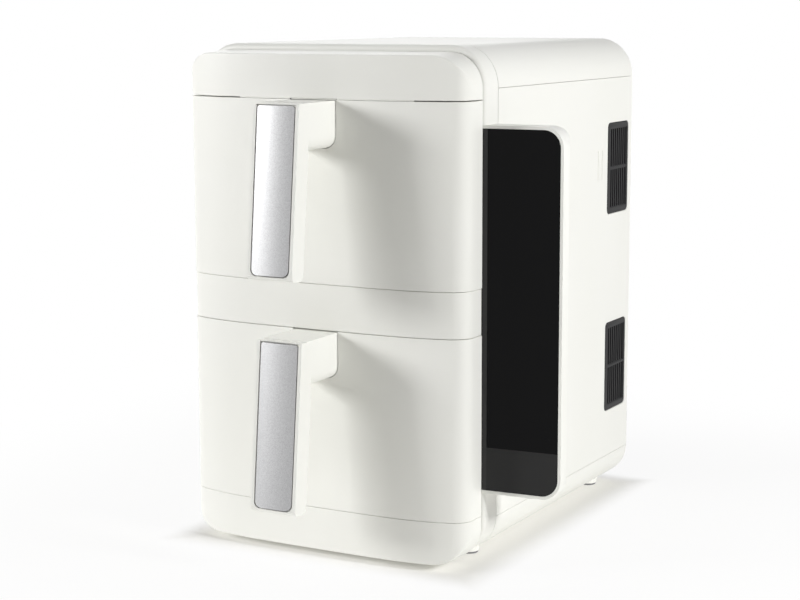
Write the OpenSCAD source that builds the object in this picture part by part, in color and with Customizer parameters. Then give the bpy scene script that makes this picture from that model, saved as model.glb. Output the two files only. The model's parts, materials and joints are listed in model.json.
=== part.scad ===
// Stacked two-drawer air fryer with a touch panel on a side wing.
// Millimetres, +Z up, +X to the right seen from the front, the drawers pull out along -Y.
// Everything is laid out from the front's foremost point (y = 0) and the table (z = 0), and
// place() then moves it so that the origin is the middle of the base of the whole object.

/* [Housing] */
// Width across the side panels
body_w = 250; // [235:1:290]
// Depth of the covers behind the front frame
shell_d = 266.4; // [262:0.2:300]
// Wall of the moulded covers
wall = 2.5; // [2:0.1:3.2]
// Radius of the long top corners
top_r = 31; // [26:1:36]
// Radius of the long bottom corners
base_r = 28; // [22:1:32]
// Gap along a seam between two covers
seam = 0.6; // [0.4:0.1:1]
// How far the rear cover sits inside the covers
rear_recess = 2; // [1:0.5:4]
// Height of the feet
foot_h = 6; // [5:0.5:12]
// Radius of a foot
foot_r = 8.5; // [6:0.5:11]
// Thickness of the rubber pad under a foot
pad_t = 1.5; // [1:0.5:3]

/* [Front] */
// Height of one drawer front with its share of the gaps
drawer_h = 140; // [132:1:165]
// Height of each fixed strip above, between and below the drawers
strip_h = 35; // [30:1:50]
// Gap above and below a drawer front
front_gap = 0.7; // [0.4:0.1:2]
// Bow of the front over its width
crown = 9.2; // [6:0.2:14]
// Radius of the front's upright edges
edge_r = 17; // [13:0.5:20]
// Angle at which the bowed face runs into the upright edges
edge_angle = 20; // [14:1:26]
// Radius of the front's four corners
panel_r = 27; // [19:1:30]
// Radius of the front's top and bottom edges
brow_r = 3; // [2:0.5:6]
// Depth of the front mouldings
panel_d = 35.5; // [34:0.5:40]
// Step from the front's sides in to the housing's sides
side_step = 2; // [1.5:0.5:4]
// Step from the front's top up to the housing's top
top_step = 5; // [4:0.5:8]
// Drop of the front's lower edge below the housing
base_step = 2; // [1:0.5:3]
// Inset of the middle strip behind the drawer fronts
strip_inset = 0.5; // [0:0.1:1]
// Groove between the front and the front frame
groove = 2.5; // [2:0.5:4]
// Depth of the front frame's visible collar
collar_d = 21; // [19:0.5:26]
// Wall of the collar
collar_t = 3; // [2.5:0.1:3.5]
// Width of the collar's front edge, which closes the groove behind the front
collar_rim = 7; // [6:0.5:8]
// Depth of the frame's front wall behind the collar's edge
bezel_set = 4; // [3.5:0.5:6]
// Thickness of the frame's front wall
bezel_t = 2.5; // [2:0.1:3.5]

/* [Control wing] */
// Reach of the wing beyond the housing's side
wing_reach = 61; // [52:1:75]
// Height of the wing
wing_h = 278; // [240:1:300]
// Angle by which the wing's face falls back
wing_sweep = 4.1; // [0:0.1:6]
// Radius of the wing's outer corners
wing_r = 15.5; // [10:0.5:20]
// Radius of the wing's outer rear edge
wing_edge_r = 8; // [5:0.5:10]
// Rim of the wing round the glass
rim = 2.4; // [1.8:0.1:3.5]
// Thickness of the glass
glass_t = 2.6; // [2:0.1:3.2]

/* [Handles] */
// Width of a handle
handle_w = 39; // [32:1:48]
// Length of a handle from top to bottom
handle_len = 129; // [110:1:132]
// Reach of the grip's face in front of the drawer, at its top
handle_reach = 50.7; // [46:0.5:58]
// Lean of the grip, its lower end forward
handle_lean = 5.7; // [0:0.1:8]
// Thickness of the grip
grip_t = 15.5; // [13:0.5:18]
// Height of the neck that joins the grip to the drawer
neck_h = 35.5; // [28:0.5:44]
// Radius of the neck's lower long edges
neck_r = 10; // [5:0.5:11]
// Depth of the notch that the handle's root fills
notch_d = 4; // [3.5:0.5:6]
// Border of the grip round its plate
plate_border = 2.7; // [1.5:0.1:3.2]
// Gap round the plate in its recess
plate_gap = 0.9; // [0.3:0.1:1.2]
// Radius of the plate's convex face
plate_curve_r = 70; // [60:1:110]

/* [Vents] */
// Length of a side vent, front to back
vent_l = 45.5; // [38:0.5:47]
// Height of a side vent
vent_h = 77.5; // [60:0.5:84]
// Distance from a side vent to the housing's rear edge
vent_rear = 7.2; // [7:0.2:12]
// Distance between the middles of the upper and lower vents
vent_pitch = 172; // [160:1:180]
// Rise of the vents above the middle of the front
vent_rise = 2.5; // [-5:0.5:7]
// Slats in a side vent
vent_slats = 8; // [5:1:10]

/* [Chambers] */
// Distance from a chamber's mouth to the housing's side
mouth_side = 20; // [18.5:0.5:25]
// Overlap of a drawer front on its chamber's mouth, above and below
mouth_lap = 7; // [6.5:0.5:9]
// Depth of a chamber
chamber_d = 238.5; // [237:0.5:241]
// Sheet of the chambers
sheet = 1.2; // [0.8:0.1:1.6]
// Thickness of the seal round a mouth
seal_t = 3.3; // [2.8:0.1:3.4]
// Radius of the hot-air fan
fan_r = 42; // [36:1:43]
// Radius of the heater's inner ring
heater_r = 48; // [47:0.5:49]
// Radius of the heater's tube
tube_r = 3.2; // [2.8:0.1:3.5]
// Radius of a fan's shaft
shaft_r = 3; // [2.5:0.5:4]
// Radius of a motor
motor_r = 26; // [22:1:32]

/* [Drawers] */
// Depth of a pan inside the chamber
pan_l = 209; // [190:1:210]
// Wall of a pan
pan_t = 2; // [1.6:0.1:2.4]
// Radius of a pan's upright corners
pan_r = 20; // [18:0.5:26]
// Taper of a pan's walls from rim to floor
pan_taper = 6; // [3:0.5:8]
// Height of the crisper plate above the pan's floor
crisper_h = 14; // [10:1:20]

/* [Hidden] */
$fn = 48;
eps = 0.05;
fit = 0.3;
run = 0.03;
screw_r = 1.75;
pilot_r = screw_r + 0.1;
pass_r = screw_r + 0.4;

// Levels above the table
shell_z0 = foot_h;
panel_z0 = foot_h - base_step;
panel_z1 = panel_z0 + 3 * strip_h + 2 * drawer_h;
shell_z1 = panel_z1 + top_step;
top_seam_z = shell_z1 - top_r - 1;
base_seam_z = shell_z0 + base_r;
lower_z = panel_z0 + strip_h;
upper_z = lower_z + drawer_h + strip_h;
mid_z = (panel_z0 + panel_z1) / 2;

// Places from front to back
collar_y0 = panel_d + groove;
collar_y1 = collar_y0 + collar_d;
bezel_y = collar_y0 + bezel_set;
chamber_y0 = bezel_y + bezel_t;
chamber_y1 = chamber_y0 + chamber_d;
shell_y0 = collar_y1 + seam;
shell_y1 = shell_y0 + shell_d;
rear_t = 3;
rear_y = shell_y1 - rear_recess - rear_t;
flange_t = 4;
flange_w = 10;
post_r = 3.5;
foot_pin_r = 2;
spigot_t = 1.6;
spigot_l = 6;
lap_t = 2;
lap_h = 5;

// The front
post_deep = 10;
panel_w = body_w - 2 * side_step;
crown_steps = 24;
edge_steps = 6;

// The handles
plate_w = handle_w - 2 * (plate_border + plate_gap);
plate_proud = 1.6;
plate_edge_r = 4.5;
plate_drop = plate_gap + 0.9;
handle_drop = 0.6;

// The wing and its glass
wing_z0 = mid_z - wing_h / 2;
wing_z1 = mid_z + wing_h / 2;
glass_in = collar_t - fit;
glass_h = wing_h - 2 * rim;
glass_r = wing_r - rim;
wing_back_t = 3;
ledge = 4;
board_gap = 5.5;
board_t = 1.6;
board_in = 3;
board_w = wing_reach - rim - 2 * (ledge + board_in);
board_h = glass_h - 2 * (ledge + board_in);
slot_in = 60;
slot_w = 6;
slot_h = 16;

// A chamber and what is in it, from the drawer's lower edge
mouth_w = body_w - 2 * mouth_side;
mouth_h = drawer_h - 2 * mouth_lap;
mouth_r = 12;
seal_w = 3.5;
chamber_mid = drawer_h / 2;
fan_hole_r = 7;
terminal_r = 4.5;
terminal_x = 14;
terminal_z = -sqrt(pow(heater_r, 2) - pow(terminal_x, 2));
probe_r = 2.2;
probe_x = 30 - mouth_w / 2;
probe_z = 20;
chamber_lip = 8;
bulkhead_t = 1.5;
bulkhead_foot = 14;
bulkhead_in = 11;
motor_y = chamber_y1 + bulkhead_t;
motor_l = 21;
cool_y = motor_y + motor_l + 3;
cool_t = 7;
fan_t = 13;
fan_gap = 10;
fan_y = chamber_y1 - fan_t - fan_gap;
blade_t = 1;
guard_y = fan_y - 5;
guard_rings = [[12, 6], [21, 10], [30, 15]];

// A pan, from the drawer's lower edge
back_t = 3;
back_y = bezel_y - seal_t;
plug_t = 4.5;
pan_z0 = mouth_lap + 6;
pan_z1 = drawer_h - mouth_lap - 14;
flange_pan = 2;
pan_side = 8.5;
pan_w = mouth_w - 2 * pan_side;
pan_y0 = back_y + 1.5;
rail_w = 7;
rail_t = 3;
lug_x = 25;
lug_w = 18;
lug_drop = 30;
lug_deep = 3;

// The foremost point is the lower edge of a handle's plate
plate_low = handle_len - plate_border - plate_gap;
front_y = -handle_reach - plate_proud * cos(handle_lean) - plate_low * sin(handle_lean);

module place() translate([-wing_reach / 2, -(front_y + shell_y1) / 2, 0]) children();

module at_lower() translate([0, 0, lower_z]) children();

module at_upper() translate([0, 0, upper_z]) children();

// ---- outlines -------------------------------------------------------------------------

// A flat shape in x and z, extruded between two places in y
module along_y(y0, y1) translate([0, y1, 0]) rotate([90, 0, 0]) linear_extrude(y1 - y0) children();

// A flat shape in y and z, extruded between two places in x
module along_x(x0, x1) translate([x0, 0, 0]) rotate([90, 0, 90]) linear_extrude(x1 - x0) children();

module rod_y(r, y0, y1) translate([0, y1, 0]) rotate([90, 0, 0]) cylinder(h = y1 - y0, r = r);

module rounded_rect(w, z0, z1, r) {
    translate([-w / 2, z0 + r]) square([w, z1 - z0 - 2 * r]);
    translate([-w / 2 + r, z0]) square([w - 2 * r, z1 - z0]);
    for (x = [-1, 1], z = [z0 + r, z1 - r])
        translate([x * (w / 2 - r), z]) circle(r);
}

// Cross-section of the housing, moved in by inset
module shell_outline(inset) {
    w = body_w - 2 * inset;
    rt = top_r - inset;
    rb = base_r - inset;
    z0 = shell_z0 + inset;
    z1 = shell_z1 - inset;
    translate([-w / 2, z0 + rb]) square([w, z1 - z0 - rt - rb]);
    translate([-w / 2 + rt, z1 - rt - eps]) square([w - 2 * rt, rt + eps]);
    translate([-w / 2 + rb, z0]) square([w - 2 * rb, rb + eps]);
    for (x = [-1, 1]) {
        translate([x * (w / 2 - rt), z1 - rt]) circle(rt);
        translate([x * (w / 2 - rb), z0 + rb]) circle(rb);
    }
}

module shell_ring(inset, t) difference() {
    shell_outline(inset);
    shell_outline(inset + t);
}

// Plan of the front: a bowed face whose bow runs tangent into round upright edges
function crown_half(inset) =
    panel_w / 2 - inset - (edge_r - inset) * (1 - sin(edge_angle));

function crown_y(x, inset) =
    let (half = crown_half(inset))
    inset + crown * pow(abs(x) / half, tan(edge_angle) * half / crown);

function edge_point(side, angle, inset) =
    let (r = edge_r - inset, x = crown_half(inset) - r * sin(edge_angle))
    [side * (x + r * sin(angle)), inset + crown + r * (cos(edge_angle) - cos(angle))];

function front_plan(inset, back) = concat(
    [[-panel_w / 2 + inset, back]],
    [for (i = [edge_steps : -1 : 1])
        edge_point(-1, edge_angle + (90 - edge_angle) * i / edge_steps, inset)],
    [for (i = [-crown_steps / 2 : crown_steps / 2])
        let (x = crown_half(inset) * 2 * i / crown_steps) [x, crown_y(x, inset)]],
    [for (i = [1 : edge_steps])
        edge_point(1, edge_angle + (90 - edge_angle) * i / edge_steps, inset)],
    [[panel_w / 2 - inset, back]]
);

// The whole front as a solid block, moved in by inset and cut off level at z0 and z1
module front_block(inset, z0, z1, back) intersection() {
    translate([0, 0, z0]) linear_extrude(z1 - z0) polygon(front_plan(inset, back));
    along_y(-1, back + 1)
        rounded_rect(panel_w - 2 * inset, panel_z0 + inset, panel_z1 - inset, panel_r - inset);
    along_x(-panel_w, panel_w) front_profile(inset, back + 1);
}

// Side view of the front, with its top and bottom edges rounded
module front_profile(inset, back) {
    r = max(brow_r - inset, 0.5);
    z0 = panel_z0 + inset;
    z1 = panel_z1 - inset;
    translate([inset + r, z0]) square([back - inset - r, z1 - z0]);
    translate([inset, z0 + r]) square([back - inset, z1 - z0 - 2 * r]);
    for (z = [z0 + r, z1 - r])
        translate([inset + r, z]) circle(r);
}

// A hollow moulding of the front, open at the back
module front_moulding(z0, z1, inset = 0) difference() {
    front_block(inset, z0, z1, panel_d);
    front_block(inset + wall, z0 + wall, z1 - wall, panel_d + 1);
}

// ---- housing --------------------------------------------------------------------------

// Collar, front wall with the two mouths, spigot for the covers, and the hollow control wing
module front_frame() place() color("whitesmoke") difference() {
    union() {
        along_y(collar_y0, collar_y1) shell_ring(0, collar_t);
        along_y(collar_y0, bezel_y + eps) shell_ring(collar_t - eps, collar_rim - collar_t + eps);
        along_y(collar_y1 - 4, collar_y1) shell_ring(collar_t - eps, spigot_t);
        along_y(collar_y1 - eps, shell_y0 + spigot_l) shell_ring(wall + fit, spigot_t);
        difference() {
            along_y(bezel_y, chamber_y0) shell_outline(collar_t - eps);
            for (z = [lower_z, upper_z]) translate([0, 0, z]) mouth(0, bezel_y - 1, chamber_y0 + 1);
        }
        wing_block();
    }
    glass_slab(fit / 2, -1, 1);
    wing_hollow();
    for (z = [wing_z0 + slot_in, wing_z1 - slot_in])
        translate([body_w / 2 - collar_t - 1, collar_y0 + slot_w + ledge, z - slot_h / 2])
            cube([collar_t + 2 * ledge + 2, slot_w, slot_h]);
    for (p = bezel_screws())
        translate([p[0], 0, p[1]]) rod_y(pass_r, bezel_y - 1, chamber_y0 + 1);
}

// Mouth of a chamber, grown by extra
module mouth(extra, y0, y1) along_y(y0, y1)
    rounded_rect(mouth_w + 2 * extra, mouth_lap - extra, drawer_h - mouth_lap + extra, mouth_r + extra);

// Places in x and z where the fixed strips are screwed to the front wall
function bezel_screws() = [
    for (x = [-1, 1], z = [panel_z0 + strip_h / 2, mid_z, panel_z1 - strip_h / 2])
        [x * panel_w / 3, z]
];

module wing_block() intersection() {
    translate([0, 0, wing_z0]) linear_extrude(wing_h) wing_plan();
    along_y(collar_y0, collar_y1 + 1) wing_outline(0);
}

// Plan of the wing: a face that falls back and a round outer rear edge
module wing_plan() {
    x0 = body_w / 2 - collar_t;
    x1 = body_w / 2 + wing_reach;
    y1 = collar_y0 + (x1 - body_w / 2) * tan(wing_sweep);
    polygon([
        [x0, collar_y0],
        [body_w / 2, collar_y0],
        [x1, y1],
        [x1, collar_y1 - wing_edge_r],
        [x1 - wing_edge_r, collar_y1],
        [x0, collar_y1]
    ]);
    translate([x1 - wing_edge_r, collar_y1 - wing_edge_r]) circle(wing_edge_r);
}

// Front view of the wing, square where it meets the collar
module wing_outline(inset) {
    x0 = body_w / 2 - collar_t;
    x1 = body_w / 2 + wing_reach - inset;
    r = wing_r - inset;
    z0 = wing_z0 + inset;
    z1 = wing_z1 - inset;
    translate([x0, z0]) square([x1 - r - x0, z1 - z0]);
    translate([x0, z0 + r]) square([x1 - x0, z1 - z0 - 2 * r]);
    for (z = [z0 + r, z1 - r])
        translate([x1 - r, z]) circle(r);
}

// Turns children into the plane of the wing's face, its corner with the collar at 0, 0
module in_wing() translate([body_w / 2, collar_y0, 0]) rotate([0, 0, wing_sweep]) children();

// The glass, grown by extra, reaching from y0 to its back and by more towards the front
module glass_slab(extra, y0, more) in_wing() {
    x0 = -glass_in - extra - more;
    x1 = (wing_reach - rim) / cos(wing_sweep) + extra;
    r = glass_r + extra;
    z0 = wing_z0 + rim - extra;
    z1 = wing_z1 - rim + extra;
    along_y(y0, glass_t) {
        translate([x0, z0]) square([x1 - r - x0, z1 - z0]);
        translate([x0, z0 + r]) square([x1 - x0, z1 - z0 - 2 * r]);
        for (z = [z0 + r, z1 - r])
            translate([x1 - r, z]) circle(r);
    }
}

module wing_hollow() {
    x0 = body_w / 2 + ledge;
    x1 = body_w / 2 + wing_reach - rim - ledge;
    difference() {
        translate([x0, collar_y0 - 1, wing_z0 + rim + ledge])
            cube([x1 - x0, collar_d - wing_back_t + 1, glass_h - 2 * ledge]);
        for (z = [wing_z0 + slot_in / 2, mid_z, wing_z1 - slot_in / 2])
            in_wing() translate([wing_reach / 2, 0, z])
                rod_y(post_r, glass_t + board_gap + board_t, collar_d);
    }
}

module control_glass() place() color([0.03, 0.03, 0.03]) glass_slab(0, 0, 0);

// Circuit board with the display and the touch springs that press on the glass
module control_board() place() color("darkgreen") in_wing() {
    x0 = ledge + board_in;
    y = glass_t + board_gap;
    display_w = board_w - 4 * board_in;
    key_r = 3.5;
    translate([x0, y, mid_z - board_h / 2]) cube([board_w, board_t, board_h]);
    translate([x0 + 2 * board_in, glass_t, mid_z + board_h / 6])
        cube([display_w, board_gap + eps, board_h / 4]);
    for (x = [x0 + board_w / 4, x0 + board_w * 3 / 4], k = [0.5 : 5.5])
        translate([x, 0, mid_z - board_h / 2 + k * board_h / 10]) rod_y(key_r, glass_t, y + eps);
}

// Wraps over the top and its corners down to the side seams
module top_cover() place() color("whitesmoke") {
    intersection() {
        union() {
            along_y(shell_y0, shell_y1) shell_ring(0, wall);
            rear_flange();
        }
        translate([-body_w, 0, top_seam_z + seam / 2]) cube([2 * body_w, 2 * shell_y1, body_w]);
    }
    for (side = [-1, 1]) lap(side, top_seam_z, 1);
}

// Floor of the housing, wrapping up round its corners to the lower side seams
module base_pan() place() color("whitesmoke") difference() {
    union() {
        intersection() {
            union() {
                along_y(shell_y0, shell_y1) shell_ring(0, wall);
                rear_flange();
            }
            translate([-body_w, 0, 0]) cube([2 * body_w, 2 * shell_y1, base_seam_z - seam / 2]);
        }
        for (side = [-1, 1]) lap(side, base_seam_z, -1);
        for (p = board_feet())
            translate([p[0], p[1], shell_z0]) cylinder(h = power_z - shell_z0, r = post_r);
    }
    for (p = foot_places())
        translate([p[0], p[1], shell_z0 - 1]) cylinder(h = wall + 2, r = foot_pin_r + fit);
    for (p = bulkhead_feet())
        translate([p[0], p[1], shell_z0 - 1]) cylinder(h = wall + 2, r = pass_r);
}

// Inner return of the covers that the rear cover is screwed to
module rear_flange() difference() {
    along_y(rear_y - flange_t, rear_y) shell_ring(wall - eps, flange_w);
    rear_pilots();
}

module rear_pilots() for (p = rear_screw_places())
    translate([p[0], 0, p[1]]) rod_y(pilot_r, rear_y - flange_t - 1, rear_y + 1);

// Strip inside a side seam: on the cover above it (way 1) or on the base below it (way -1)
module lap(side, z, way) mirror([side > 0 ? 0 : 1, 0, 0]) {
    x1 = body_w / 2 - wall - fit;
    root_z = z + (way > 0 ? seam : -lap_h);
    along_y(shell_y0 + spigot_l + 1, rear_y - flange_t - fit) {
        translate([x1 - lap_t, z - lap_h]) square([lap_t, 2 * lap_h]);
        translate([x1 - lap_t, root_z]) square([lap_t + fit + 1, lap_h - seam]);
    }
}

power_z = shell_z0 + wall + 8;
power_in = 40;
power_y = collar_y1 + power_in;
power_w = 160;
power_l = 120;
transformer = [38, 32, 22];
relay = [28, 40, 17];
capacitor_r = 8;
capacitor_h = 20;

function board_feet() = [
    for (x = [-1, 1], y = [post_r, power_l - post_r]) [x * (power_w / 2 - post_r), power_y + y]
];

function foot_places() = [
    for (x = [-1, 1], y = [shell_y0 + foot_r, shell_y1 - 2.6 * foot_r])
        [x * (body_w / 2 - base_r), y]
];

function bulkhead_feet() = [for (x = [-1, 1]) [x * body_w / 5, chamber_y1 - bulkhead_foot / 2]];

// Places in x and z of the rear cover's screws
function rear_screw_places() = let (x = body_w / 2 - wall - flange_w / 2) concat(
    [for (s = [-1, 1], z = [top_seam_z - 12, mid_z, base_seam_z + 12]) [s * x, z]],
    [for (s = [-1, 1]) [s * body_w / 4, shell_z1 - wall - flange_w / 2]],
    [for (s = [-1, 1]) [s * body_w / 4, shell_z0 + wall + flange_w / 2]]
);

vent_y1 = shell_y1 - vent_rear;
vent_r = 4.3;
vent_lip = 3;
vent_back = 2;

// Two shallow upright lines in a side panel, in front of the upper vent
mark_in = 22.5;
mark_pitch = 8.5;
mark_w = 2.4;
mark_l = 25;
mark_z = -8.5;
mark_deep = 0.5;
vent_zs = [mid_z + vent_rise - vent_pitch / 2, mid_z + vent_rise + vent_pitch / 2];

// Outline of a side vent in y and z
module vent_outline(extra) {
    y0 = vent_y1 - vent_l - extra;
    l = vent_l + 2 * extra;
    h = vent_h + 2 * extra;
    r = vent_r + extra;
    translate([y0, -h / 2 + r]) square([l, h - 2 * r]);
    translate([y0 + r, -h / 2]) square([l - 2 * r, h]);
    for (y = [y0 + r, y0 + l - r], z = [-h / 2 + r, h / 2 - r])
        translate([y, z]) circle(r);
}

// Side panel for the right side, with its two vent openings and its rear return
module side_panel() {
    x1 = body_w / 2;
    z0 = base_seam_z + seam / 2;
    z1 = top_seam_z - seam / 2;
    difference() {
        union() {
            translate([x1 - wall, shell_y0, z0]) cube([wall, shell_d, z1 - z0]);
            translate([x1 - wall - flange_w, rear_y - flange_t, z0])
                cube([flange_w + eps, flange_t, z1 - z0]);
        }
        for (z = vent_zs) {
            translate([0, 0, z]) along_x(x1 - wall - 1, x1 + 1) vent_outline(fit);
            translate([x1 - wall - flange_w - 1, rear_y - flange_t - 1, z - vent_h / 2 - 2 * vent_lip])
                cube([flange_w + 1, flange_t + 2, vent_h + 4 * vent_lip]);
        }
        rear_pilots();
        for (k = [0, 1])
            translate([x1 - mark_deep, vent_y1 - vent_l - mark_in + k * mark_pitch, vent_zs[1] + mark_z])
                cube([1, mark_w, mark_l]);
    }
}

module side_panel_right() place() color("whitesmoke") side_panel();

module side_panel_left() place() color("whitesmoke") mirror([1, 0, 0]) side_panel();

// Vent insert for the right side: upright slats, one crossbar, and lips behind the panel
module vent(z) color([0.2, 0.2, 0.2]) translate([0, 0, z]) {
    x1 = body_w / 2;
    border = 3.6;
    bar = 1;
    pitch = (vent_l - 2 * border) / (vent_slats + 0.5);
    slot_l = vent_h / 2 - border - bar;
    lip_l = vent_l - 16;
    difference() {
        along_x(x1 - wall - vent_back, x1) vent_outline(0);
        for (k = [0 : vent_slats], z0 = [bar, -bar - slot_l])
            translate([x1 - wall - vent_back - 1, vent_y1 - vent_l + border + k * pitch, z0])
                cube([wall + vent_back + 2, pitch / 2, slot_l]);
    }
    for (z0 = [vent_h / 2 - 2, -vent_h / 2 - vent_lip])
        translate([x1 - wall - fit - vent_back, vent_y1 - (vent_l + lip_l) / 2, z0])
            cube([vent_back, lip_l, vent_lip + 2]);
}

module upper_vent_right() place() vent(vent_zs[1]);

module lower_vent_right() place() vent(vent_zs[0]);

module upper_vent_left() place() mirror([1, 0, 0]) vent(vent_zs[1]);

module lower_vent_left() place() mirror([1, 0, 0]) vent(vent_zs[0]);

gland_x = -body_w / 4;
gland_z = shell_z0 + 40;
gland_t = 2;
cord_r = 3.75;
grille_pitch = 7.6;
grille_slot = 3.6;

// Rear cover with an exhaust grille behind each motor
module rear_cover() place() color([0.24, 0.24, 0.24]) difference() {
    along_y(rear_y, rear_y + rear_t) shell_outline(wall + fit);
    for (z = [lower_z, upper_z], k = [-5 : 5]) {
        w = 2 * sqrt(pow(fan_r + 4, 2) - pow(k * grille_pitch, 2));
        translate([-w / 2, rear_y - 1, z + chamber_mid + k * grille_pitch - grille_slot / 2])
            cube([w, rear_t + 2, grille_slot]);
    }
    for (p = rear_screw_places())
        translate([p[0], 0, p[1]]) rod_y(pass_r, rear_y - 1, rear_y + rear_t + 1);
    translate([gland_x, 0, gland_z]) rod_y(cord_r + gland_t + run, rear_y - 1, rear_y + rear_t + 1);
}

// Ring in the rear cover that the mains cord passes through
module cord_gland() place() color([0.15, 0.15, 0.15]) translate([gland_x, 0, gland_z]) difference() {
    union() {
        rod_y(cord_r + gland_t, rear_y - 2 * gland_t, shell_y1);
        rod_y(cord_r + 2.2 * gland_t, rear_y + rear_t, shell_y1);
        rod_y(cord_r + 1.8 * gland_t, rear_y - 2 * gland_t, rear_y);
    }
    rod_y(cord_r, rear_y - 2 * gland_t - 1, shell_y1 + 1);
}

// Steel plate that carries the chambers' rear ends and the motors
module bulkhead() place() color("silver") difference() {
    union() {
        along_y(chamber_y1, chamber_y1 + bulkhead_t)
            rounded_rect(body_w - 2 * (wall + bulkhead_in), shell_z0 + wall, shell_z1 - wall - fit,
                base_r - wall - 2);
        translate([-body_w / 4, chamber_y1 - bulkhead_foot, shell_z0 + wall])
            cube([body_w / 2, bulkhead_foot + eps, bulkhead_t]);
    }
    for (z = [lower_z, upper_z]) translate([0, 0, z + chamber_mid]) rear_holes(chamber_y1 - 1);
    for (p = bulkhead_feet())
        translate([p[0], p[1], shell_z0]) cylinder(h = wall + 2 * bulkhead_t, r = pilot_r);
}

// Holes for the shaft, the heater's terminals and the probe, through chamber and bulkhead
module rear_holes(y0) {
    rod_y(fan_hole_r, y0, motor_y + 1);
    for (s = [-1, 1])
        translate([s * terminal_x, 0, terminal_z]) rod_y(terminal_r + fit, y0, motor_y + 1);
    translate([probe_x, 0, probe_z]) rod_y(probe_r + fit, y0, motor_y + 1);
}

// Feet, each with a pin through the base pan and a pocket for its pad
module feet() place() color("whitesmoke") for (p = foot_places())
    translate([p[0], p[1], pad_t]) difference() {
        union() {
            cylinder(h = foot_h - pad_t, r = foot_r);
            cylinder(h = foot_h - pad_t + wall + 2, r = foot_pin_r);
        }
        translate([0, 0, -1]) cylinder(h = pad_deep + 1, r = pad_stud_r + fit);
    }

module foot_pads() place() color([0.3, 0.3, 0.3]) for (p = foot_places())
    translate([p[0], p[1], 0]) {
        cylinder(h = pad_t, r = foot_r - 1);
        cylinder(h = pad_t + pad_deep, r = pad_stud_r);
    }

pad_deep = 2;
pad_stud_r = foot_r - 3.3;

// A pan-head screw along y, its head's seat at y = 0 and its shank towards -y
module screw(r, l) {
    rod_y(r, -l, eps);
    rod_y(r * 2, 0, r);
}

module rear_screws() place() color("silver") for (p = rear_screw_places())
    translate([p[0], rear_y + rear_t, p[1]]) screw(screw_r, rear_t + flange_t);

module base_screws() place() color("silver") for (p = bulkhead_feet())
    translate([p[0], p[1], shell_z0]) rotate([-90, 0, 0]) screw(screw_r, wall + 2 * bulkhead_t);

// Mains board on four posts of the base pan, with a transformer, a relay and three capacitors
module power_board() place() color("darkgreen") translate([-power_w / 2, power_y, power_z]) {
    cube([power_w, power_l, board_t]);
    translate([power_w / 8, power_l / 6, 0]) cube(transformer);
    translate([power_w / 2, power_l / 4, 0]) cube(relay);
    for (k = [1 : 3])
        translate([power_w * 0.82, k * power_l / 4, 0]) cylinder(h = capacitor_h, r = capacitor_r);
}

// ---- fixed strips of the front --------------------------------------------------------

// A fixed strip with the posts that reach the frame's front wall
module fascia(z0, z1, inset, screw_z) color("whitesmoke") difference() {
    union() {
        front_moulding(z0, z1, inset);
        for (x = [-1, 1])
            translate([x * panel_w / 3, 0, screw_z])
                rod_y(2 * screw_r + 1, crown_y(panel_w / 3, inset) + 1, bezel_y);
    }
    for (x = [-1, 1])
        translate([x * panel_w / 3, 0, screw_z]) rod_y(pilot_r, bezel_y - post_deep - 1, bezel_y + 1);
}

module top_fascia() place()
    fascia(panel_z1 - strip_h + front_gap / 2, panel_z1 + 1, 0, panel_z1 - strip_h / 2);

module middle_fascia() place()
    fascia(mid_z - (strip_h - front_gap) / 2, mid_z + (strip_h - front_gap) / 2, strip_inset, mid_z);

module base_fascia() place()
    fascia(panel_z0 - 1, panel_z0 + strip_h - front_gap / 2, 0, panel_z0 + strip_h / 2);

module fascia_screws() place() color("silver") for (p = bezel_screws())
    translate([p[0], chamber_y0, p[1]]) screw(screw_r, bezel_t + post_deep);

// ---- a chamber and what is in it ------------------------------------------------------

// Sheet-metal chamber with a flange round its mouth
module chamber() color("lightgray") difference() {
    union() {
        mouth(sheet, chamber_y0, chamber_y1);
        mouth(chamber_lip, chamber_y0, chamber_y0 + sheet);
    }
    mouth(0, chamber_y0 - 1, chamber_y1 - sheet);
    translate([0, 0, chamber_mid]) rear_holes(chamber_y1 - sheet - 1);
}

module rails() color("gray") for (side = [-1, 1])
    translate([side * (mouth_w / 2 - rail_w / 2) - rail_w / 2, chamber_y0 + 2, pan_z1 - flange_pan - rail_t])
        cube([rail_w, guard_y - chamber_y0 - 6, rail_t]);

module seal() color([0.25, 0.25, 0.25]) difference() {
    mouth(seal_w, back_y, bezel_y);
    mouth(0, back_y - 1, bezel_y + 1);
}

// Two rings of sheathed element, joined across, on two terminals through the bulkhead
module heater() color("dimgray") translate([0, 0, chamber_mid]) {
    y = fan_y + fan_t / 2;
    for (r = [heater_r, heater_r + 2 * tube_r + 2])
        translate([0, y, 0]) rotate([90, 0, 0]) rotate_extrude() translate([r, 0]) circle(tube_r);
    for (s = [-1, 1])
        translate([s * terminal_x, 0, terminal_z]) {
            rod_y(tube_r - 0.4, y, motor_y + 10);
            rod_y(terminal_r, y + 5, motor_y + 3);
            rod_y(terminal_r + 2.5, motor_y, motor_y + 3);
        }
    for (a = [30, 150, 270])
        rotate([0, a, 0]) translate([heater_r - 1, y - 1.5, -2]) cube([2 * tube_r + 4, 3, 4]);
}

// Punched plate in front of the fan
module fan_guard() color("lightgray") difference() {
    mouth(-0.2, guard_y, guard_y + sheet);
    translate([0, 0, chamber_mid]) {
        for (ring = guard_rings, k = [1 : ring[1]])
            rotate([0, k * 360 / ring[1], 0]) translate([ring[0], 0, 0])
                rod_y(3, guard_y - 1, guard_y + sheet + 1);
        rod_y(4, guard_y - 1, guard_y + sheet + 1);
    }
    for (side = [-1, 1], k = [-3 : 3])
        translate([side * (mouth_w / 2 - 24) - 14, guard_y - 1, chamber_mid + k * 14 - 2.5])
            cube([28, sheet + 2, 5]);
}

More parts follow.
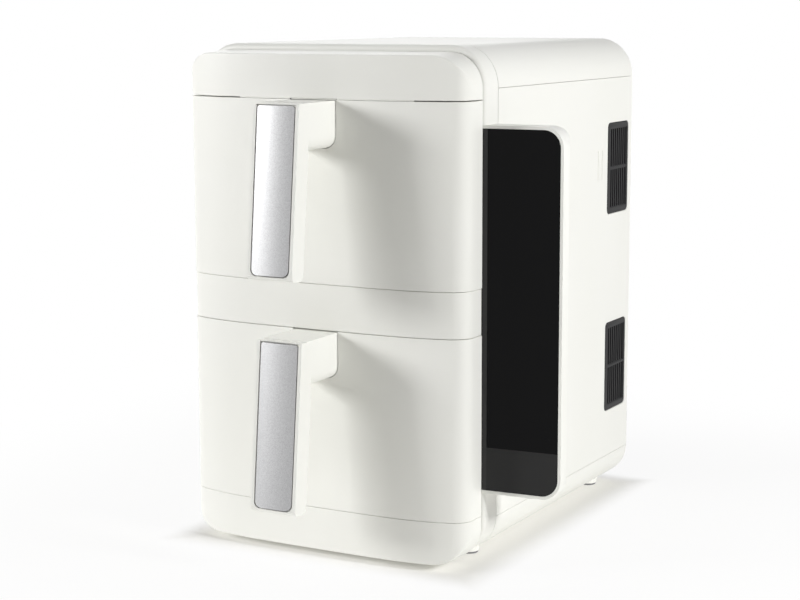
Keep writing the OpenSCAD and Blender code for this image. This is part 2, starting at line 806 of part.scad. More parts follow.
module probe() color("silver") translate([probe_x, 0, chamber_mid + probe_z]) {
    rod_y(probe_r, guard_y + 6, motor_y + 4);
    rod_y(2 * probe_r, motor_y, motor_y + 3);
}

// Motor, closed but for the bore that its shaft turns in
module motor() color("darkgray") translate([0, 0, chamber_mid]) difference() {
    union() {
        rod_y(motor_r, motor_y + 3, motor_y + motor_l - 2);
        rod_y(motor_r / 2, motor_y, motor_y + motor_l);
        for (a = [45 : 90 : 315])
            rotate([0, a, 0]) translate([motor_r + 2, 0, 0]) rod_y(4, motor_y, motor_y + 5);
    }
    rod_y(shaft_r + run, motor_y - 1, motor_y + motor_l + 1);
}

module fan_shaft() color("silver") translate([0, 0, chamber_mid])
    rod_y(shaft_r, fan_y - 3, cool_y + cool_t + 1);

// Pressed-steel fan: a disc with blades bent forward from it
module fan() color("silver") translate([0, fan_y, chamber_mid]) difference() {
    union() {
        rod_y(fan_r, fan_t - 1, fan_t);
        rod_y(8, 0, fan_t);
        for (k = [0 : 9])
            rotate([0, k * 36, 0]) translate([fan_r * 0.42, 0, 0]) rotate([0, -25, 0])
                translate([0, 0, -blade_t / 2]) cube([fan_r * 0.54, fan_t - 0.5, blade_t]);
    }
    rod_y(shaft_r, -1, fan_t + 1);
}

// Moulded fan that cools the motor
module cooling_fan() color([0.2, 0.2, 0.2]) translate([0, cool_y, chamber_mid]) difference() {
    union() {
        rod_y(9, 0, cool_t);
        intersection() {
            rod_y(fan_r - 4, 0, cool_t);
            for (k = [0 : 6])
                rotate([0, k * 360 / 7, 0]) translate([6, cool_t / 2, 0]) rotate([28, 0, 0])
                    translate([0, -0.7, -8]) cube([fan_r, 1.4, 16]);
        }
    }
    rod_y(shaft_r, -1, cool_t + 1);
}

// ---- a drawer -------------------------------------------------------------------------

handle_z1 = drawer_h - front_gap / 2 - handle_drop;
handle_screw_zs = [handle_z1 - 9, handle_z1 - neck_h + 11];
neck_fillet = 5;
neck_y = -handle_reach + grip_t / cos(handle_lean) - neck_h * tan(handle_lean);

// Moulded drawer front with the notch that the handle's root fills
module drawer_front(z) color("whitesmoke") difference() {
    union() {
        front_moulding(z + front_gap / 2, z + drawer_h - front_gap / 2);
        translate([-handle_w / 2 - notch_t, wall - 1, z + handle_z1 - neck_h - notch_t])
            cube([handle_w + 2 * notch_t, notch_d + notch_t + 1 - wall, neck_h + notch_t]);
        for (x = [-1, 1], dz = drawer_screw_zs)
            translate([x * panel_w / 3, 0, z + dz])
                rod_y(2 * screw_r + 1, crown_y(panel_w / 3, 0) + 1, back_y - plug_t - back_t);
    }
    translate([0, 0, z]) along_y(-2, notch_d) handle_front_view(fit);
    for (dz = handle_screw_zs)
        translate([0, 0, z + dz]) rod_y(pass_r, notch_d - 1, notch_d + notch_t + 1);
    for (x = [-1, 1], dz = drawer_screw_zs)
        translate([x * panel_w / 3, 0, z + dz])
            rod_y(pilot_r, back_y - plug_t - back_t - post_deep, back_y - plug_t - back_t + 1);
}

notch_t = 3;
drawer_screw_zs = [22, drawer_h - 22];

// Front view of the neck, its lower corners round
module handle_front_view(extra) {
    w = handle_w + 2 * extra;
    z0 = handle_z1 - neck_h - extra;
    r = neck_r + extra;
    translate([-w / 2, z0 + r]) square([w, neck_h + 20]);
    translate([-w / 2 + r, z0]) square([w - 2 * r, neck_h + 20]);
    for (x = [-1, 1])
        translate([x * (w / 2 - r), z0 + r]) circle(r);
}

// Side view of the handle in y and z: a leaning grip hung from a straight neck
module handle_profile() {
    under = handle_z1 - neck_h;
    translate([-handle_reach, handle_z1]) rotate(-handle_lean) intersection() {
        union() {
            translate([0, -handle_len + 6]) square([grip_t, handle_len - 6]);
            translate([4, -handle_len]) square([grip_t - 10, 10]);
            translate([4, -handle_len + 4]) circle(4);
            translate([grip_t - 6, -handle_len + 6]) circle(6);
            translate([0, -handle_len + 4]) square([4, 10]);
        }
        rotate(handle_lean) translate([-handle_len, -2 * handle_len]) square(2 * handle_len);
    }
    translate([neck_y - neck_fillet, under]) square([notch_d - neck_y + neck_fillet, neck_h]);
    difference() {
        translate([neck_y - 2, under - neck_fillet]) square([neck_fillet + 2, neck_fillet + 1]);
        translate([neck_y + neck_fillet, under - neck_fillet]) circle(neck_fillet);
    }
}

// Turns children to lie along the grip's face, its top edge at 0
module on_grip() translate([0, -handle_reach, handle_z1]) rotate([-handle_lean, 0, 0]) children();

module handle() color("whitesmoke") difference() {
    along_x(-handle_w / 2, handle_w / 2) handle_profile();
    for (side = [0, 1]) mirror([side, 0, 0]) along_y(neck_y, notch_d + 1) difference() {
        translate([handle_w / 2 - neck_r, handle_z1 - neck_h - neck_fillet])
            square([neck_r + 1, neck_r + neck_fillet]);
        translate([handle_w / 2 - neck_r, handle_z1 - neck_h + neck_r]) circle(neck_r);
    }
    on_grip() along_y(-5, 2) plate_outline(plate_gap);
    for (z = handle_screw_zs)
        translate([0, 0, z]) rod_y(pilot_r, notch_d - post_deep, notch_d + 1);
}

// Front view of the grip's plate, square above and round below
module plate_outline(extra) {
    w = plate_w + 2 * extra;
    z0 = -plate_low - extra;
    z1 = -plate_drop + extra;
    r = plate_edge_r + extra;
    translate([-w / 2, z0 + r]) square([w, z1 - z0 - r]);
    translate([-w / 2 + r, z0]) square([w - 2 * r, r + 1]);
    for (x = [-1, 1])
        translate([x * (w / 2 - r), z0 + r]) circle(r);
}

// Convex plate let into the grip
module handle_plate() color("silver") on_grip() intersection() {
    along_y(-plate_proud - 1, 2) plate_outline(0);
    translate([0, plate_curve_r - plate_proud, -handle_len]) cylinder(h = handle_len, r = plate_curve_r, $fn = 160);
}

// Inner plate of a drawer front, with the plug that presses on the seal
module drawer_back() color("gray") difference() {
    union() {
        along_y(back_y - plug_t - back_t, back_y - plug_t)
            rounded_rect(panel_w - 2 * wall - 2 * fit, front_gap / 2 + wall + fit,
                drawer_h - front_gap / 2 - wall - fit, 3);
        mouth(seal_w, back_y - plug_t - eps, back_y);
    }
    for (x = [-1, 1], z = drawer_screw_zs)
        translate([x * panel_w / 3, 0, z]) {
            rod_y(pass_r, back_y - plug_t - back_t - 1, back_y + 1);
            rod_y(2 * screw_r + fit, back_y - screw_r - fit, back_y + 1);
        }
    for (x = [-1, 1])
        translate([x * lug_x, 0, pan_z1 - lug_drop]) rod_y(pass_r, back_y - plug_t - back_t - 1, back_y + 1);
}

module drawer_screws() color("silver") {
    for (x = [-1, 1], z = drawer_screw_zs)
        translate([x * panel_w / 3, back_y - screw_r - fit, z]) screw(screw_r, plug_t + post_deep);
    for (z = handle_screw_zs)
        translate([0, notch_d + notch_t, z]) screw(screw_r, notch_t + post_deep - 1);
    for (x = [-1, 1])
        translate([x * lug_x, back_y - plug_t - back_t, pan_z1 - lug_drop])
            mirror([0, 1, 0]) screw(screw_r, plug_t + back_t + lug_deep - 1);
}

// Plan of a pan at a height between floor (0) and rim (1), moved in by inset
module pan_plan(level, inset) {
    cut = pan_taper * (1 - level) + inset;
    rounded_rect(pan_w - 2 * cut, pan_y0 + cut, pan_y0 + pan_l - cut, pan_r - cut);
}

module pan_slab(z, level, inset) translate([0, 0, z]) linear_extrude(eps) pan_plan(level, inset);

// Tapered pan with a flange all round that runs on the rails
module pan() color([0.2, 0.2, 0.2]) difference() {
    union() {
        hull($fn = 32) {
            pan_slab(pan_z0, 0, 4);
            pan_slab(pan_z0 + 4, 0.04, 0);
            pan_slab(pan_z1 - eps, 1, 0);
        }
        translate([0, 0, pan_z1 - flange_pan]) linear_extrude(flange_pan)
            rounded_rect(mouth_w - 4, back_y, pan_y0 + pan_l + 1, pan_r + 1);
        for (x = [-1, 1])
            translate([x * lug_x - lug_w / 2, back_y, pan_z1 - lug_drop - lug_w / 2])
                cube([lug_w, pan_y0 - back_y + pan_taper, lug_w]);
    }
    hull($fn = 32) {
        pan_slab(pan_z0 + pan_t, 0.02, 4 + pan_t);
        pan_slab(pan_z0 + pan_t + 4, 0.06, pan_t);
        pan_slab(pan_z1 + 1, 1, pan_t);
    }
    for (x = [-1, 1])
        translate([x * lug_x, 0, pan_z1 - lug_drop]) rod_y(pilot_r, back_y - 1, back_y + lug_deep);
}

crisper_z = pan_z0 + pan_t + crisper_h;
crisper_t = 1.5;
hole_pitch = 21;
hole_r = 4.5;
bumper_r = 6;
crisper_in = pan_taper + pan_t + 1.5;
bumper_in = crisper_in + 2.25 * bumper_r;

// Perforated plate that the food lies on
module crisper_plate() color([0.22, 0.22, 0.22]) difference() {
    translate([0, 0, crisper_z]) linear_extrude(crisper_t)
        rounded_rect(pan_w - 2 * crisper_in, pan_y0 + crisper_in, pan_y0 + pan_l - crisper_in,
            pan_r - crisper_in);
    for (x = [-3 : 3], y = [-3 : 3])
        translate([x * hole_pitch, pan_y0 + pan_l / 2 + y * hole_pitch, crisper_z - 1])
            cylinder(h = crisper_t + 2, r = hole_r, $fn = 24);
}

// Silicone studs under the crisper plate, standing on the pan's floor
module bumpers() color("dimgray") for (x = [-1, 1], y = [-1, 1])
    translate([x * (pan_w / 2 - bumper_in), pan_y0 + pan_l / 2 + y * (pan_l / 2 - bumper_in), 0])
        translate([0, 0, crisper_z - crisper_h]) cylinder(h = crisper_h, r = bumper_r);

module upper_chamber() place() at_upper() chamber();

module upper_rails() place() at_upper() rails();

module upper_seal() place() at_upper() seal();

module upper_heater() place() at_upper() heater();

module upper_fan_guard() place() at_upper() fan_guard();

module upper_probe() place() at_upper() probe();

module upper_motor() place() at_upper() motor();

module upper_fan() place() at_upper() fan();

module upper_fan_shaft() place() at_upper() fan_shaft();

module upper_cooling_fan() place() at_upper() cooling_fan();

module lower_chamber() place() at_lower() chamber();

module lower_rails() place() at_lower() rails();

module lower_seal() place() at_lower() seal();

module lower_heater() place() at_lower() heater();

module lower_fan_guard() place() at_lower() fan_guard();

module lower_probe() place() at_lower() probe();

module lower_motor() place() at_lower() motor();

module lower_fan() place() at_lower() fan();

module lower_fan_shaft() place() at_lower() fan_shaft();

module lower_cooling_fan() place() at_lower() cooling_fan();

module upper_drawer_front() place() drawer_front(upper_z);

module lower_drawer_front() place() drawer_front(lower_z);

module upper_drawer_back() place() at_upper() drawer_back();

module upper_handle() place() at_upper() handle();

module upper_handle_plate() place() at_upper() handle_plate();

module upper_pan() place() at_upper() pan();

module upper_crisper_plate() place() at_upper() crisper_plate();

module upper_bumpers() place() at_upper() bumpers();

module upper_drawer_screws() place() at_upper() drawer_screws();

module lower_drawer_back() place() at_lower() drawer_back();

module lower_handle() place() at_lower() handle();

module lower_handle_plate() place() at_lower() handle_plate();

module lower_pan() place() at_lower() pan();

module lower_crisper_plate() place() at_lower() crisper_plate();

module lower_bumpers() place() at_lower() bumpers();

module lower_drawer_screws() place() at_lower() drawer_screws();

front_frame();
top_cover();
side_panel_left();
side_panel_right();
base_pan();
rear_cover();
bulkhead();
top_fascia();
middle_fascia();
base_fascia();
control_glass();
control_board();
power_board();
upper_vent_right();
lower_vent_right();
upper_vent_left();
lower_vent_left();
feet();
foot_pads();
cord_gland();
rear_screws();
base_screws();
fascia_screws();
upper_chamber();
upper_rails();
upper_seal();
upper_heater();
upper_fan_guard();
upper_probe();
upper_motor();
upper_fan();
upper_fan_shaft();
upper_cooling_fan();
lower_chamber();
lower_rails();
lower_seal();
lower_heater();
lower_fan_guard();
lower_probe();
lower_motor();
lower_fan();
lower_fan_shaft();
lower_cooling_fan();
upper_drawer_front();
upper_drawer_back();
upper_handle();
upper_handle_plate();
upper_pan();
upper_crisper_plate();
upper_bumpers();
upper_drawer_screws();
lower_drawer_front();
lower_drawer_back();
lower_handle();
lower_handle_plate();
lower_pan();
lower_crisper_plate();
lower_bumpers();
lower_drawer_screws();
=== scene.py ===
"""Looks of a stacked two-drawer air fryer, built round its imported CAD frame.

Laid out as an add-on: sizes and colours are properties, each group of pieces has its own operator,
and main() runs them all in order. Lengths are metres in the frame's own axes: +Z up, the drawers
pull out along -Y, the control wing is on the +X side.
"""

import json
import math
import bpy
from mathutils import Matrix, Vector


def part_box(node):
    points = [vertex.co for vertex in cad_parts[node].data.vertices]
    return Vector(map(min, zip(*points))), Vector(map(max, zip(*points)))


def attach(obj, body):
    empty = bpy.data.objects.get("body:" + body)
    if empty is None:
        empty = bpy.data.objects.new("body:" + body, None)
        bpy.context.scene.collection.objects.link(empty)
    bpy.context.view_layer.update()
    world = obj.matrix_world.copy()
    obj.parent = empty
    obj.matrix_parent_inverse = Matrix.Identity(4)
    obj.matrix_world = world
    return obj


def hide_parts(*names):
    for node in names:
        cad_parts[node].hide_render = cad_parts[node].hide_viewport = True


bl_info = {
    "name": "Two-Drawer Air Fryer",
    "version": (1, 0, 0),
    "blender": (4, 5, 0),
    "location": "View3D > Sidebar > Air Fryer",
    "description": "Builds the mouldings, finishes and studio of a stacked two-drawer air fryer",
    "category": "Object",
}

import bmesh
import bpy
from mathutils import Matrix, Vector

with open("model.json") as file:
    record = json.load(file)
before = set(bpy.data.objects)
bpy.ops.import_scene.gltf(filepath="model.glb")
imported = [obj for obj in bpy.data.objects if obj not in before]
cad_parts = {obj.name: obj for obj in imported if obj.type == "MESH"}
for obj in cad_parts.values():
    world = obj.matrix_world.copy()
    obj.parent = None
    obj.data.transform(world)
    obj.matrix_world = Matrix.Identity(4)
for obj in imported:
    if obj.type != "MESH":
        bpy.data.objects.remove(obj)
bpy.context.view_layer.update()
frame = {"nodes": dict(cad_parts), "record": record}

MM = 0.001
SAME_CORNER = 0.0005 * MM  # points of a piece closer than this are one corner
CAD_WELD = 0.002 * MM  # corners of a CAD mesh closer than this are welded
CAD_FLAT = math.radians(0.3)  # CAD faces that meet at less than this are one flat face
SHARP = math.radians(34)  # edges sharper than this stay sharp in the shading
HAIR = 1e-9  # slack when places are compared

# Steps that the curves are drawn in.
BOW_STEPS = 16
SHOULDER_STEPS = 4
EDGE_STEPS = 14
SEAM_STEPS = 3
LIP_STEPS = 12
NECK_STEPS = 12
PLATE_STEPS = 28
VENT_STEPS = 6
RIM_STEPS = 4
COLLAR_STEPS = 7

WHITE = (1, 1, 1, 1)


# ---- places taken from the frame ----


def low(node):
    """Lowest corner of a CAD node."""
    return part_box(node)[0]


def high(node):
    """Highest corner of a CAD node."""
    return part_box(node)[1]


MIDDLE_X = (low("side_panel_left").x + high("side_panel_right").x) / 2
PANEL_HALF = (high("upper_drawer_front").x - low("upper_drawer_front").x) / 2
PANEL_FRONT = low("upper_drawer_front").y
PANEL_BACK = high("upper_drawer_front").y
PANEL_BOTTOM = low("base_fascia").z
PANEL_TOP = high("top_fascia").z

SLOTS = {part["node"]: part["material_slot"] for part in frame["record"]["subparts"]}
GROUPED = frame["record"]["behaviour"]["bodies"]
BODIES = {node: body for body, members in GROUPED.items() for node in members}


# ---- properties ----


def number(name, text, value, least=0.0, **kind):
    """A number, of a kind given by its unit or subtype."""
    return bpy.props.FloatProperty(name=name, description=text, default=value, min=least, **kind)


def length(name, text, millimetres):
    """A length, given in millimetres and held in metres."""
    return number(name, text, millimetres * MM, unit="LENGTH", subtype="DISTANCE")


def angle(name, text, degrees):
    """An angle, given in degrees and held in radians."""
    return number(name, text, math.radians(degrees), -math.pi, subtype="ANGLE")


def colour(name, text, code):
    """A colour property held as an sRGB hex code."""
    return bpy.props.StringProperty(name=name, description=text, default=code)


class FryerSizes(bpy.types.PropertyGroup):
    """Sizes of the mouldings that the frame's boxes don't give."""

    crown: length("Bow", "Bow of the front over its width", 9.2)
    edge_radius: length("Upright edge radius", "Radius of the front's upright edges", 17)
    edge_angle: angle("Upright edge angle", "Angle at which the bow meets the upright edges", 20)
    corner_radius: length("Corner radius", "Radius of the front's four corners", 27)
    skirt: length("Skirt", "Reach of the front's sides towards the frame behind", 1.9)
    draft: length("Draft", "Fall of the front's top and base towards its face", 1.7)
    brow_radius: length("Brow radius", "Radius of the front's top and bottom edges", 1.2)
    seam_radius: length("Seam radius", "Radius of the mouldings along a seam", 0.3)
    wall: length("Wall", "Wall of the front mouldings", 2.5)
    lip_left: length("Lip, left", "Reach of the upper seam's lip to the left", 66)
    lip_right: length("Lip, right", "Reach of the upper seam's lip to the right", 84)
    lip_depth: length("Lip depth", "Depth of the upper seam's lip behind the face", 0.5)
    lip_gap: length("Lip gap", "Gap under the upper seam's lip", 0.25)
    strip_inset: length("Strip inset", "Inset of the middle strip", 0.5)
    upper_drop: length("Upper drop", "How far the upper front opens the seam above", 0.2)
    middle_lift: length("Middle lift", "How far the middle strip closes the seam above", 0.3)
    middle_drop: length("Middle drop", "How far the middle strip closes the seam below", 0.25)
    base_lift: length("Base lift", "How far the base strip closes the seam above", 0.4)
    cover_radius: length("Cover radius", "Radius of the housing's upper edges", 31)
    base_radius: length("Base radius", "Radius of the housing's lower edges", 28)
    collar_round: length("Collar rounding", "Radius of the collar's front edge", 4)
    rim_radius: length("Rim radius", "Radius of the covers' edges", 0.6)
    panel_rim: length("Panel rim", "Radius of the edges along the sides' seams", 0.2)
    cover_reach: length("Cover reach", "How far the covers close the sides' seams", 0.3)
    handle_width: length("Handle width", "Width of a handle", 39)
    handle_gap: length("Root gap", "Gap round a handle's root", 0.5)
    handle_rim: length("Handle rim", "Radius of a handle's edges", 1.1)
    notch_depth: length("Notch depth", "Depth of the notch for a handle's root", 4)
    neck_height: length("Neck height", "Height of a handle's neck", 35.5)
    neck_radius: length("Neck radius", "Radius of the neck's lower long edges", 10)
    plate_curve: length("Plate curve", "Radius of a handle plate's convex face", 70)
    plate_width: length("Plate width", "Width of a handle plate", 31.8)
    plate_foot: length("Plate foot", "Distance of a plate's foot from the handle's top", 125.4)
    plate_head: length("Plate head", "Distance of a plate's top from the handle's top", 1.8)
    plate_corner: length("Plate corner", "Radius of a handle plate's lower corners", 5)
    plate_shoulder: length("Plate shoulder", "Radius of a handle plate's upper corners", 2)
    plate_rim: length("Plate rim", "Radius of a handle plate's front edges", 0.45)
    plate_back: length("Plate back", "Depth of a handle plate behind the grip's face", 2)
    plate_proud: length("Plate rise", "Rise of a handle plate over the grip", 1.6)
    handle_lean: angle("Handle lean", "Lean of the grip", 5.7)
    glass_rim: length("Glass rim", "Radius of the panel glass's edges", 0.35)
    vent_height: length("Vent height", "Height of a side vent", 77.5)
    vent_corner: length("Vent corner", "Radius of a side vent's corners", 4.3)
    vent_rim: length("Vent rim", "Radius of a side vent's rim", 0.8)
    vent_front: length("Vent front", "Width of a vent's front frame side", 6.2)
    vent_rear: length("Vent rear", "Width of a vent's rear frame side", 3)
    vent_head: length("Vent head", "Height of a vent's upper and lower frame sides", 4.8)
    vent_bar: length("Vent bar", "Height of the bar between the slats", 1.6)
    vent_sink: length("Vent sink", "Depth of the slats behind the frame", 0.5)
    vent_depth: length("Vent depth", "Depth of the slots behind the frame", 9)
    vent_slots: bpy.props.IntProperty(
        name="Slots", description="Slots across a vent", default=8, min=1
    )


class FryerColours(bpy.types.PropertyGroup):
    """Base colours, as sRGB hex codes."""

    housing: colour("Housing", "Warm white of the moulded covers", "#F0F0EC")
    housing_warm: colour("Housing, warmer", "Warmer cast of the same resin", "#EEEEE8")
    glass: colour("Panel glass", "Printed back of the panel glass", "#040405")
    glass_band: colour("Panel band", "Paler band at the foot of the glass", "#303030")
    glass_edge: colour("Panel edge", "Clear edge strip of the glass by the drawers", "#3A3A3A")
    silver: colour("Plate", "Metallic paint of the handle plates", "#B6B6B7")
    silver_dark: colour("Plate flake", "Darker flakes of the same paint", "#9C9C9D")
    charcoal: colour("Grilles", "Charcoal resin of the grilles", "#1F1F20")
    rubber: colour("Rubber", "Feet pads, studs and seals", "#77777A")
    steel: colour("Sheet steel", "Aluminised sheet", "#B4B7BA")
    zinc: colour("Fasteners", "Zinc-plated steel", "#C3C6CA")
    coating: colour("Pan coating", "Non-stick coat of the pans", "#1E1E20")
    speck: colour("Pan speck", "Mineral specks in the non-stick coat", "#5C5C60")
    element: colour("Heating element", "Heat-stained sheath of the heaters", "#4A453F")
    mask: colour("Circuit board", "Solder mask of the boards", "#0F4A2A")
    tracks: colour("Board tracks", "Solder mask over the copper tracks", "#1C6A3E")
    paper: colour("Paper", "White paper of the studio roll", "#FAF9F6")
    paper_fibre: colour("Paper fibre", "Darker fibres of the same paper", "#F7F6F3")


class FryerStage(bpy.types.PropertyGroup):
    """Camera and studio."""

    lens: number("Lens", "Focal length in millimetres", 82.56)
    camera_x: length("Camera x", "Camera place, to the right", 690.45)
    camera_y: length("Camera y", "Camera distance in front of the frame's middle", 1305.51)
    camera_z: length("Camera z", "Camera height over the table", 421.8)
    yaw: angle("Yaw", "Turn of the view to the left", 28.844)
    pitch: angle("Pitch", "Downward tilt of the view", 9.086)
    roll: angle("Roll", "Roll of the camera", -0.19)
    key_power: number("Key light", "Lamp at the front left", 44.0, unit="POWER")
    side_power: number("Side light", "Lamp at the right", 24.5, unit="POWER")
    rear_power: number("Rear light", "Lamp at the rear left", 5.0, unit="POWER")
    top_power: number("Top light", "Lamp overhead", 1.0, unit="POWER")
    sky: number("Room light", "Strength of the even light from all round", 0.05)
    glow: number("Lit floor", "Light that the lit roll sends back up", 0.23)
    glow_full: length("Glow, full", "Reach of the lit roll's full light", 350)
    glow_end: length("Glow, end", "Reach at which the lit roll's light ends", 600)
    contact: length("Contact shadow", "Reach of the soft dark edge round the fryer", 24)
    contact_under: length("Contact under", "Reach of the same edge under the fryer", 9.6)
    drift: length("Shadow drift", "Shift of the dark edge away from the key light", 4)
    paling: number("Paling", "How white the floor right beside the fryer is", 0.9)
    paled: length("Paled", "Distance from the fryer at which the floor is plain white", 400)
    floor_half: length("Floor", "Half width of the floor", 6000)


def sizes():
    return bpy.context.scene.fryer_sizes


def colours():
    return bpy.context.scene.fryer_colours


def studio():
    return bpy.context.scene.fryer_stage


# ---- materials ----


def channels(code):
    """The red, green and blue of an sRGB hex code, 0 to 255."""
    return [int(code[i : i + 2], 16) for i in (1, 3, 5)]


def linear(code):
    """Linear RGBA of an sRGB hex code."""
    rgb = [c / 255 for c in channels(code)]
    return [c / 12.92 if c <= 0.04045 else ((c + 0.055) / 1.055) ** 2.4 for c in rgb] + [1.0]


def toned(code, factor, lift=0):
    """A hex code with its channels multiplied and then lifted."""
    return "#" + "".join(f"{min(255, int(c * factor) + lift):02X}" for c in channels(code))


def add(tree, kind, inputs=None, **settings):
    """Adds a shader node, sets its settings, and links or sets its inputs. A node given for an
    input is linked from its first output in use."""
    node = tree.nodes.new("ShaderNode" + kind)
    for name, value in settings.items():
        setattr(node, name, value)
    for name, value in (inputs or {}).items():
        if isinstance(value, bpy.types.Node):
            value = next(output for output in value.outputs if output.enabled)
        if isinstance(value, bpy.types.NodeSocket):
            tree.links.new(value, node.inputs[name])
        else:
            node.inputs[name].default_value = value
    return node


def new_material(name, surface, *facts):
    """A material whose surface function gives its shader's inputs, or a shader of its own. The
    function gets the node tree and the place in the piece's own axes, in metres, so that
    patterns move with the piece."""
    material = bpy.data.materials.new(name)
    material.use_nodes = True
    tree = material.node_tree
    tree.nodes.clear()
    shader = surface(tree, add(tree, "TexCoord").outputs["Object"], *facts)
    if isinstance(shader, dict):
        shader = add(tree, "BsdfPrincipled", shader)
    add(tree, "OutputMaterial", {"Surface": shader})
    return material


def moulded_abs(tree, place):
    """ABS, injection moulded in a spark-eroded tool: a satin face with a very fine even grain,
    so that highlights are broad and soft, and a faint drift of the resin's white."""
    cool, warm = linear(colours().housing), linear(colours().housing_warm)
    # The tool's grain is about 0.1 mm; it is drawn at 0.35 mm so that it shows at all.
    grain = add(tree, "TexNoise", {"Vector": place, "Scale": 1 / (0.35 * MM), "Detail": 2.0})
    drift = add(tree, "TexNoise", {"Vector": place, "Scale": 1 / (90 * MM), "Detail": 1.0})
    return {
        "Base Color": add(tree, "Mix", {0: drift, 6: cool, 7: warm}, data_type="RGBA"),
        "Roughness": add(tree, "MapRange", {"Value": drift, "To Min": 0.40, "To Max": 0.46}),
        "IOR": 1.53,
        "Normal": add(tree, "Bump", {"Height": grain, "Strength": 0.1, "Distance": 0.02 * MM}),
    }


def printed_glass(tree, place):
    """Soda-lime glass, printed black on its back: deep, glossy and nearly clean, with a paler
    band along its foot and a clear strip along its edge by the drawers."""
    corner = low("control_glass")
    parts = add(tree, "SeparateXYZ", {"Vector": place}).outputs
    tint = linear(colours().glass)
    # Each band ends at a place, over a narrow soft width, and lies over the last one.
    for part, end, bleed, code in (
        (parts["Z"], corner.z + 33 * MM, 0.4 * MM, colours().glass_band),
        (parts["X"], corner.x + 4.6 * MM, 0.3 * MM, colours().glass_edge),
    ):
        edge = {"Value": part, "From Min": end, "From Max": end + bleed, "To Min": 1, "To Max": 0}
        inside = add(tree, "MapRange", edge)
        tint = add(tree, "Mix", {0: inside, 6: tint, 7: linear(code)}, data_type="RGBA")
    haze = add(tree, "TexNoise", {"Vector": place, "Scale": 1 / (30 * MM), "Detail": 3.0})
    return {
        "Base Color": tint,
        "Roughness": add(tree, "MapRange", {"Value": haze, "To Min": 0.03, "To Max": 0.07}),
        "IOR": 1.3,
        "Specular IOR Level": 0.25,
    }


def flake_paint(tree, place):
    """Silver metallic lacquer, sprayed: aluminium flakes lie nearly flat in it, so it turns from
    bright to dark round the convex plate and sparkles faintly."""
    bright, dark = linear(colours().silver), linear(colours().silver_dark)
    # Flakes are about 0.05 mm; they are drawn at 0.3 mm to show as a fine speckle.
    flakes = add(tree, "TexVoronoi", {"Vector": place, "Scale": 1 / (0.3 * MM)})
    tone, tilt, rough = add(tree, "SeparateColor", {"Color": flakes.outputs["Color"]}).outputs
    return {
        "Base Color": add(tree, "Mix", {0: tone, 6: bright, 7: dark}, data_type="RGBA"),
        "Metallic": 0.9,
        "Roughness": add(tree, "MapRange", {"Value": rough, "To Min": 0.46, "To Max": 0.54}),
        "Normal": add(tree, "Bump", {"Height": tilt, "Strength": 0.15, "Distance": 0.02 * MM}),
        "Coat Weight": 0.15,
        "Coat Roughness": 0.3,
    }


def textured_resin(tree, place, code, roughness, grain_mm, depth_mm, gloss):
    """A dark resin or rubber with a moulded grain of the given size, whose pits swallow part
    of the gloss."""
    fresh, worn = linear(code), linear(toned(code, 1, lift=9))
    grain = add(tree, "TexNoise", {"Vector": place, "Scale": 1 / (grain_mm * MM), "Detail": 3.0})
    wear = add(tree, "TexNoise", {"Vector": place, "Scale": 1 / (14 * MM), "Detail": 2.0})
    rough = {"Value": wear, "To Min": roughness - 0.05, "To Max": roughness + 0.05}
    return {
        "Base Color": add(tree, "Mix", {0: wear, 6: fresh, 7: worn}, data_type="RGBA"),
        "Roughness": add(tree, "MapRange", rough),
        "IOR": 1.5,
        "Specular IOR Level": gloss,
        "Normal": add(tree, "Bump", {"Height": grain, "Strength": 0.3, "Distance": depth_mm * MM}),
    }


def worked_metal(tree, place, code, roughness, grain_mm, spangle):
    """A sheet or drawn metal: the fine grain of its working, and over it, by the strength of
    spangle, the crystals of its dipped or plated coat or the stains of heat."""
    bright, dark = linear(code), linear(toned(code, 0.86))
    grain = add(tree, "TexNoise", {"Vector": place, "Scale": 1 / (grain_mm * MM), "Detail": 3.0})
    crystals = add(tree, "TexVoronoi", {"Vector": place, "Scale": 1 / (5 * MM)})
    pick = add(tree, "SeparateColor", {"Color": crystals.outputs["Color"]})
    half = spangle / 2
    tone = add(tree, "MapRange", {"Value": pick, "To Min": 0.5 - half, "To Max": 0.5 + half})
    rough = {"Value": grain, "To Min": roughness - 0.06, "To Max": roughness + 0.06}
    return {
        "Base Color": add(tree, "Mix", {0: tone, 6: bright, 7: dark}, data_type="RGBA"),
        "Metallic": 1.0,
        "Roughness": add(tree, "MapRange", rough),
        "Normal": add(tree, "Bump", {"Height": grain, "Strength": 0.12, "Distance": 0.02 * MM}),
    }


def sprayed_nonstick(tree, place):
    """PTFE non-stick coat, sprayed and baked: near-black with a faint orange peel and sparse pale
    mineral specks."""
    coat, speck = linear(colours().coating), linear(colours().speck)
    peel = add(tree, "TexNoise", {"Vector": place, "Scale": 1 / (0.8 * MM), "Detail": 2.0})
    cells = add(tree, "TexVoronoi", {"Vector": place, "Scale": 1 / (1.6 * MM)})
    # A speck fills the middle of its cell, out to a tenth or so of the cell's size.
    core = {"Value": cells, "From Min": 0.06, "From Max": 0.12, "To Min": 1.0, "To Max": 0.0}
    inside = add(tree, "MapRange", core)
    return {
        "Base Color": add(tree, "Mix", {0: inside, 6: coat, 7: speck}, data_type="RGBA"),
        "Roughness": add(tree, "MapRange", {"Value": peel, "To Min": 0.34, "To Max": 0.44}),
        "IOR": 1.38,
        "Normal": add(tree, "Bump", {"Height": peel, "Strength": 0.25, "Distance": 0.03 * MM}),
    }


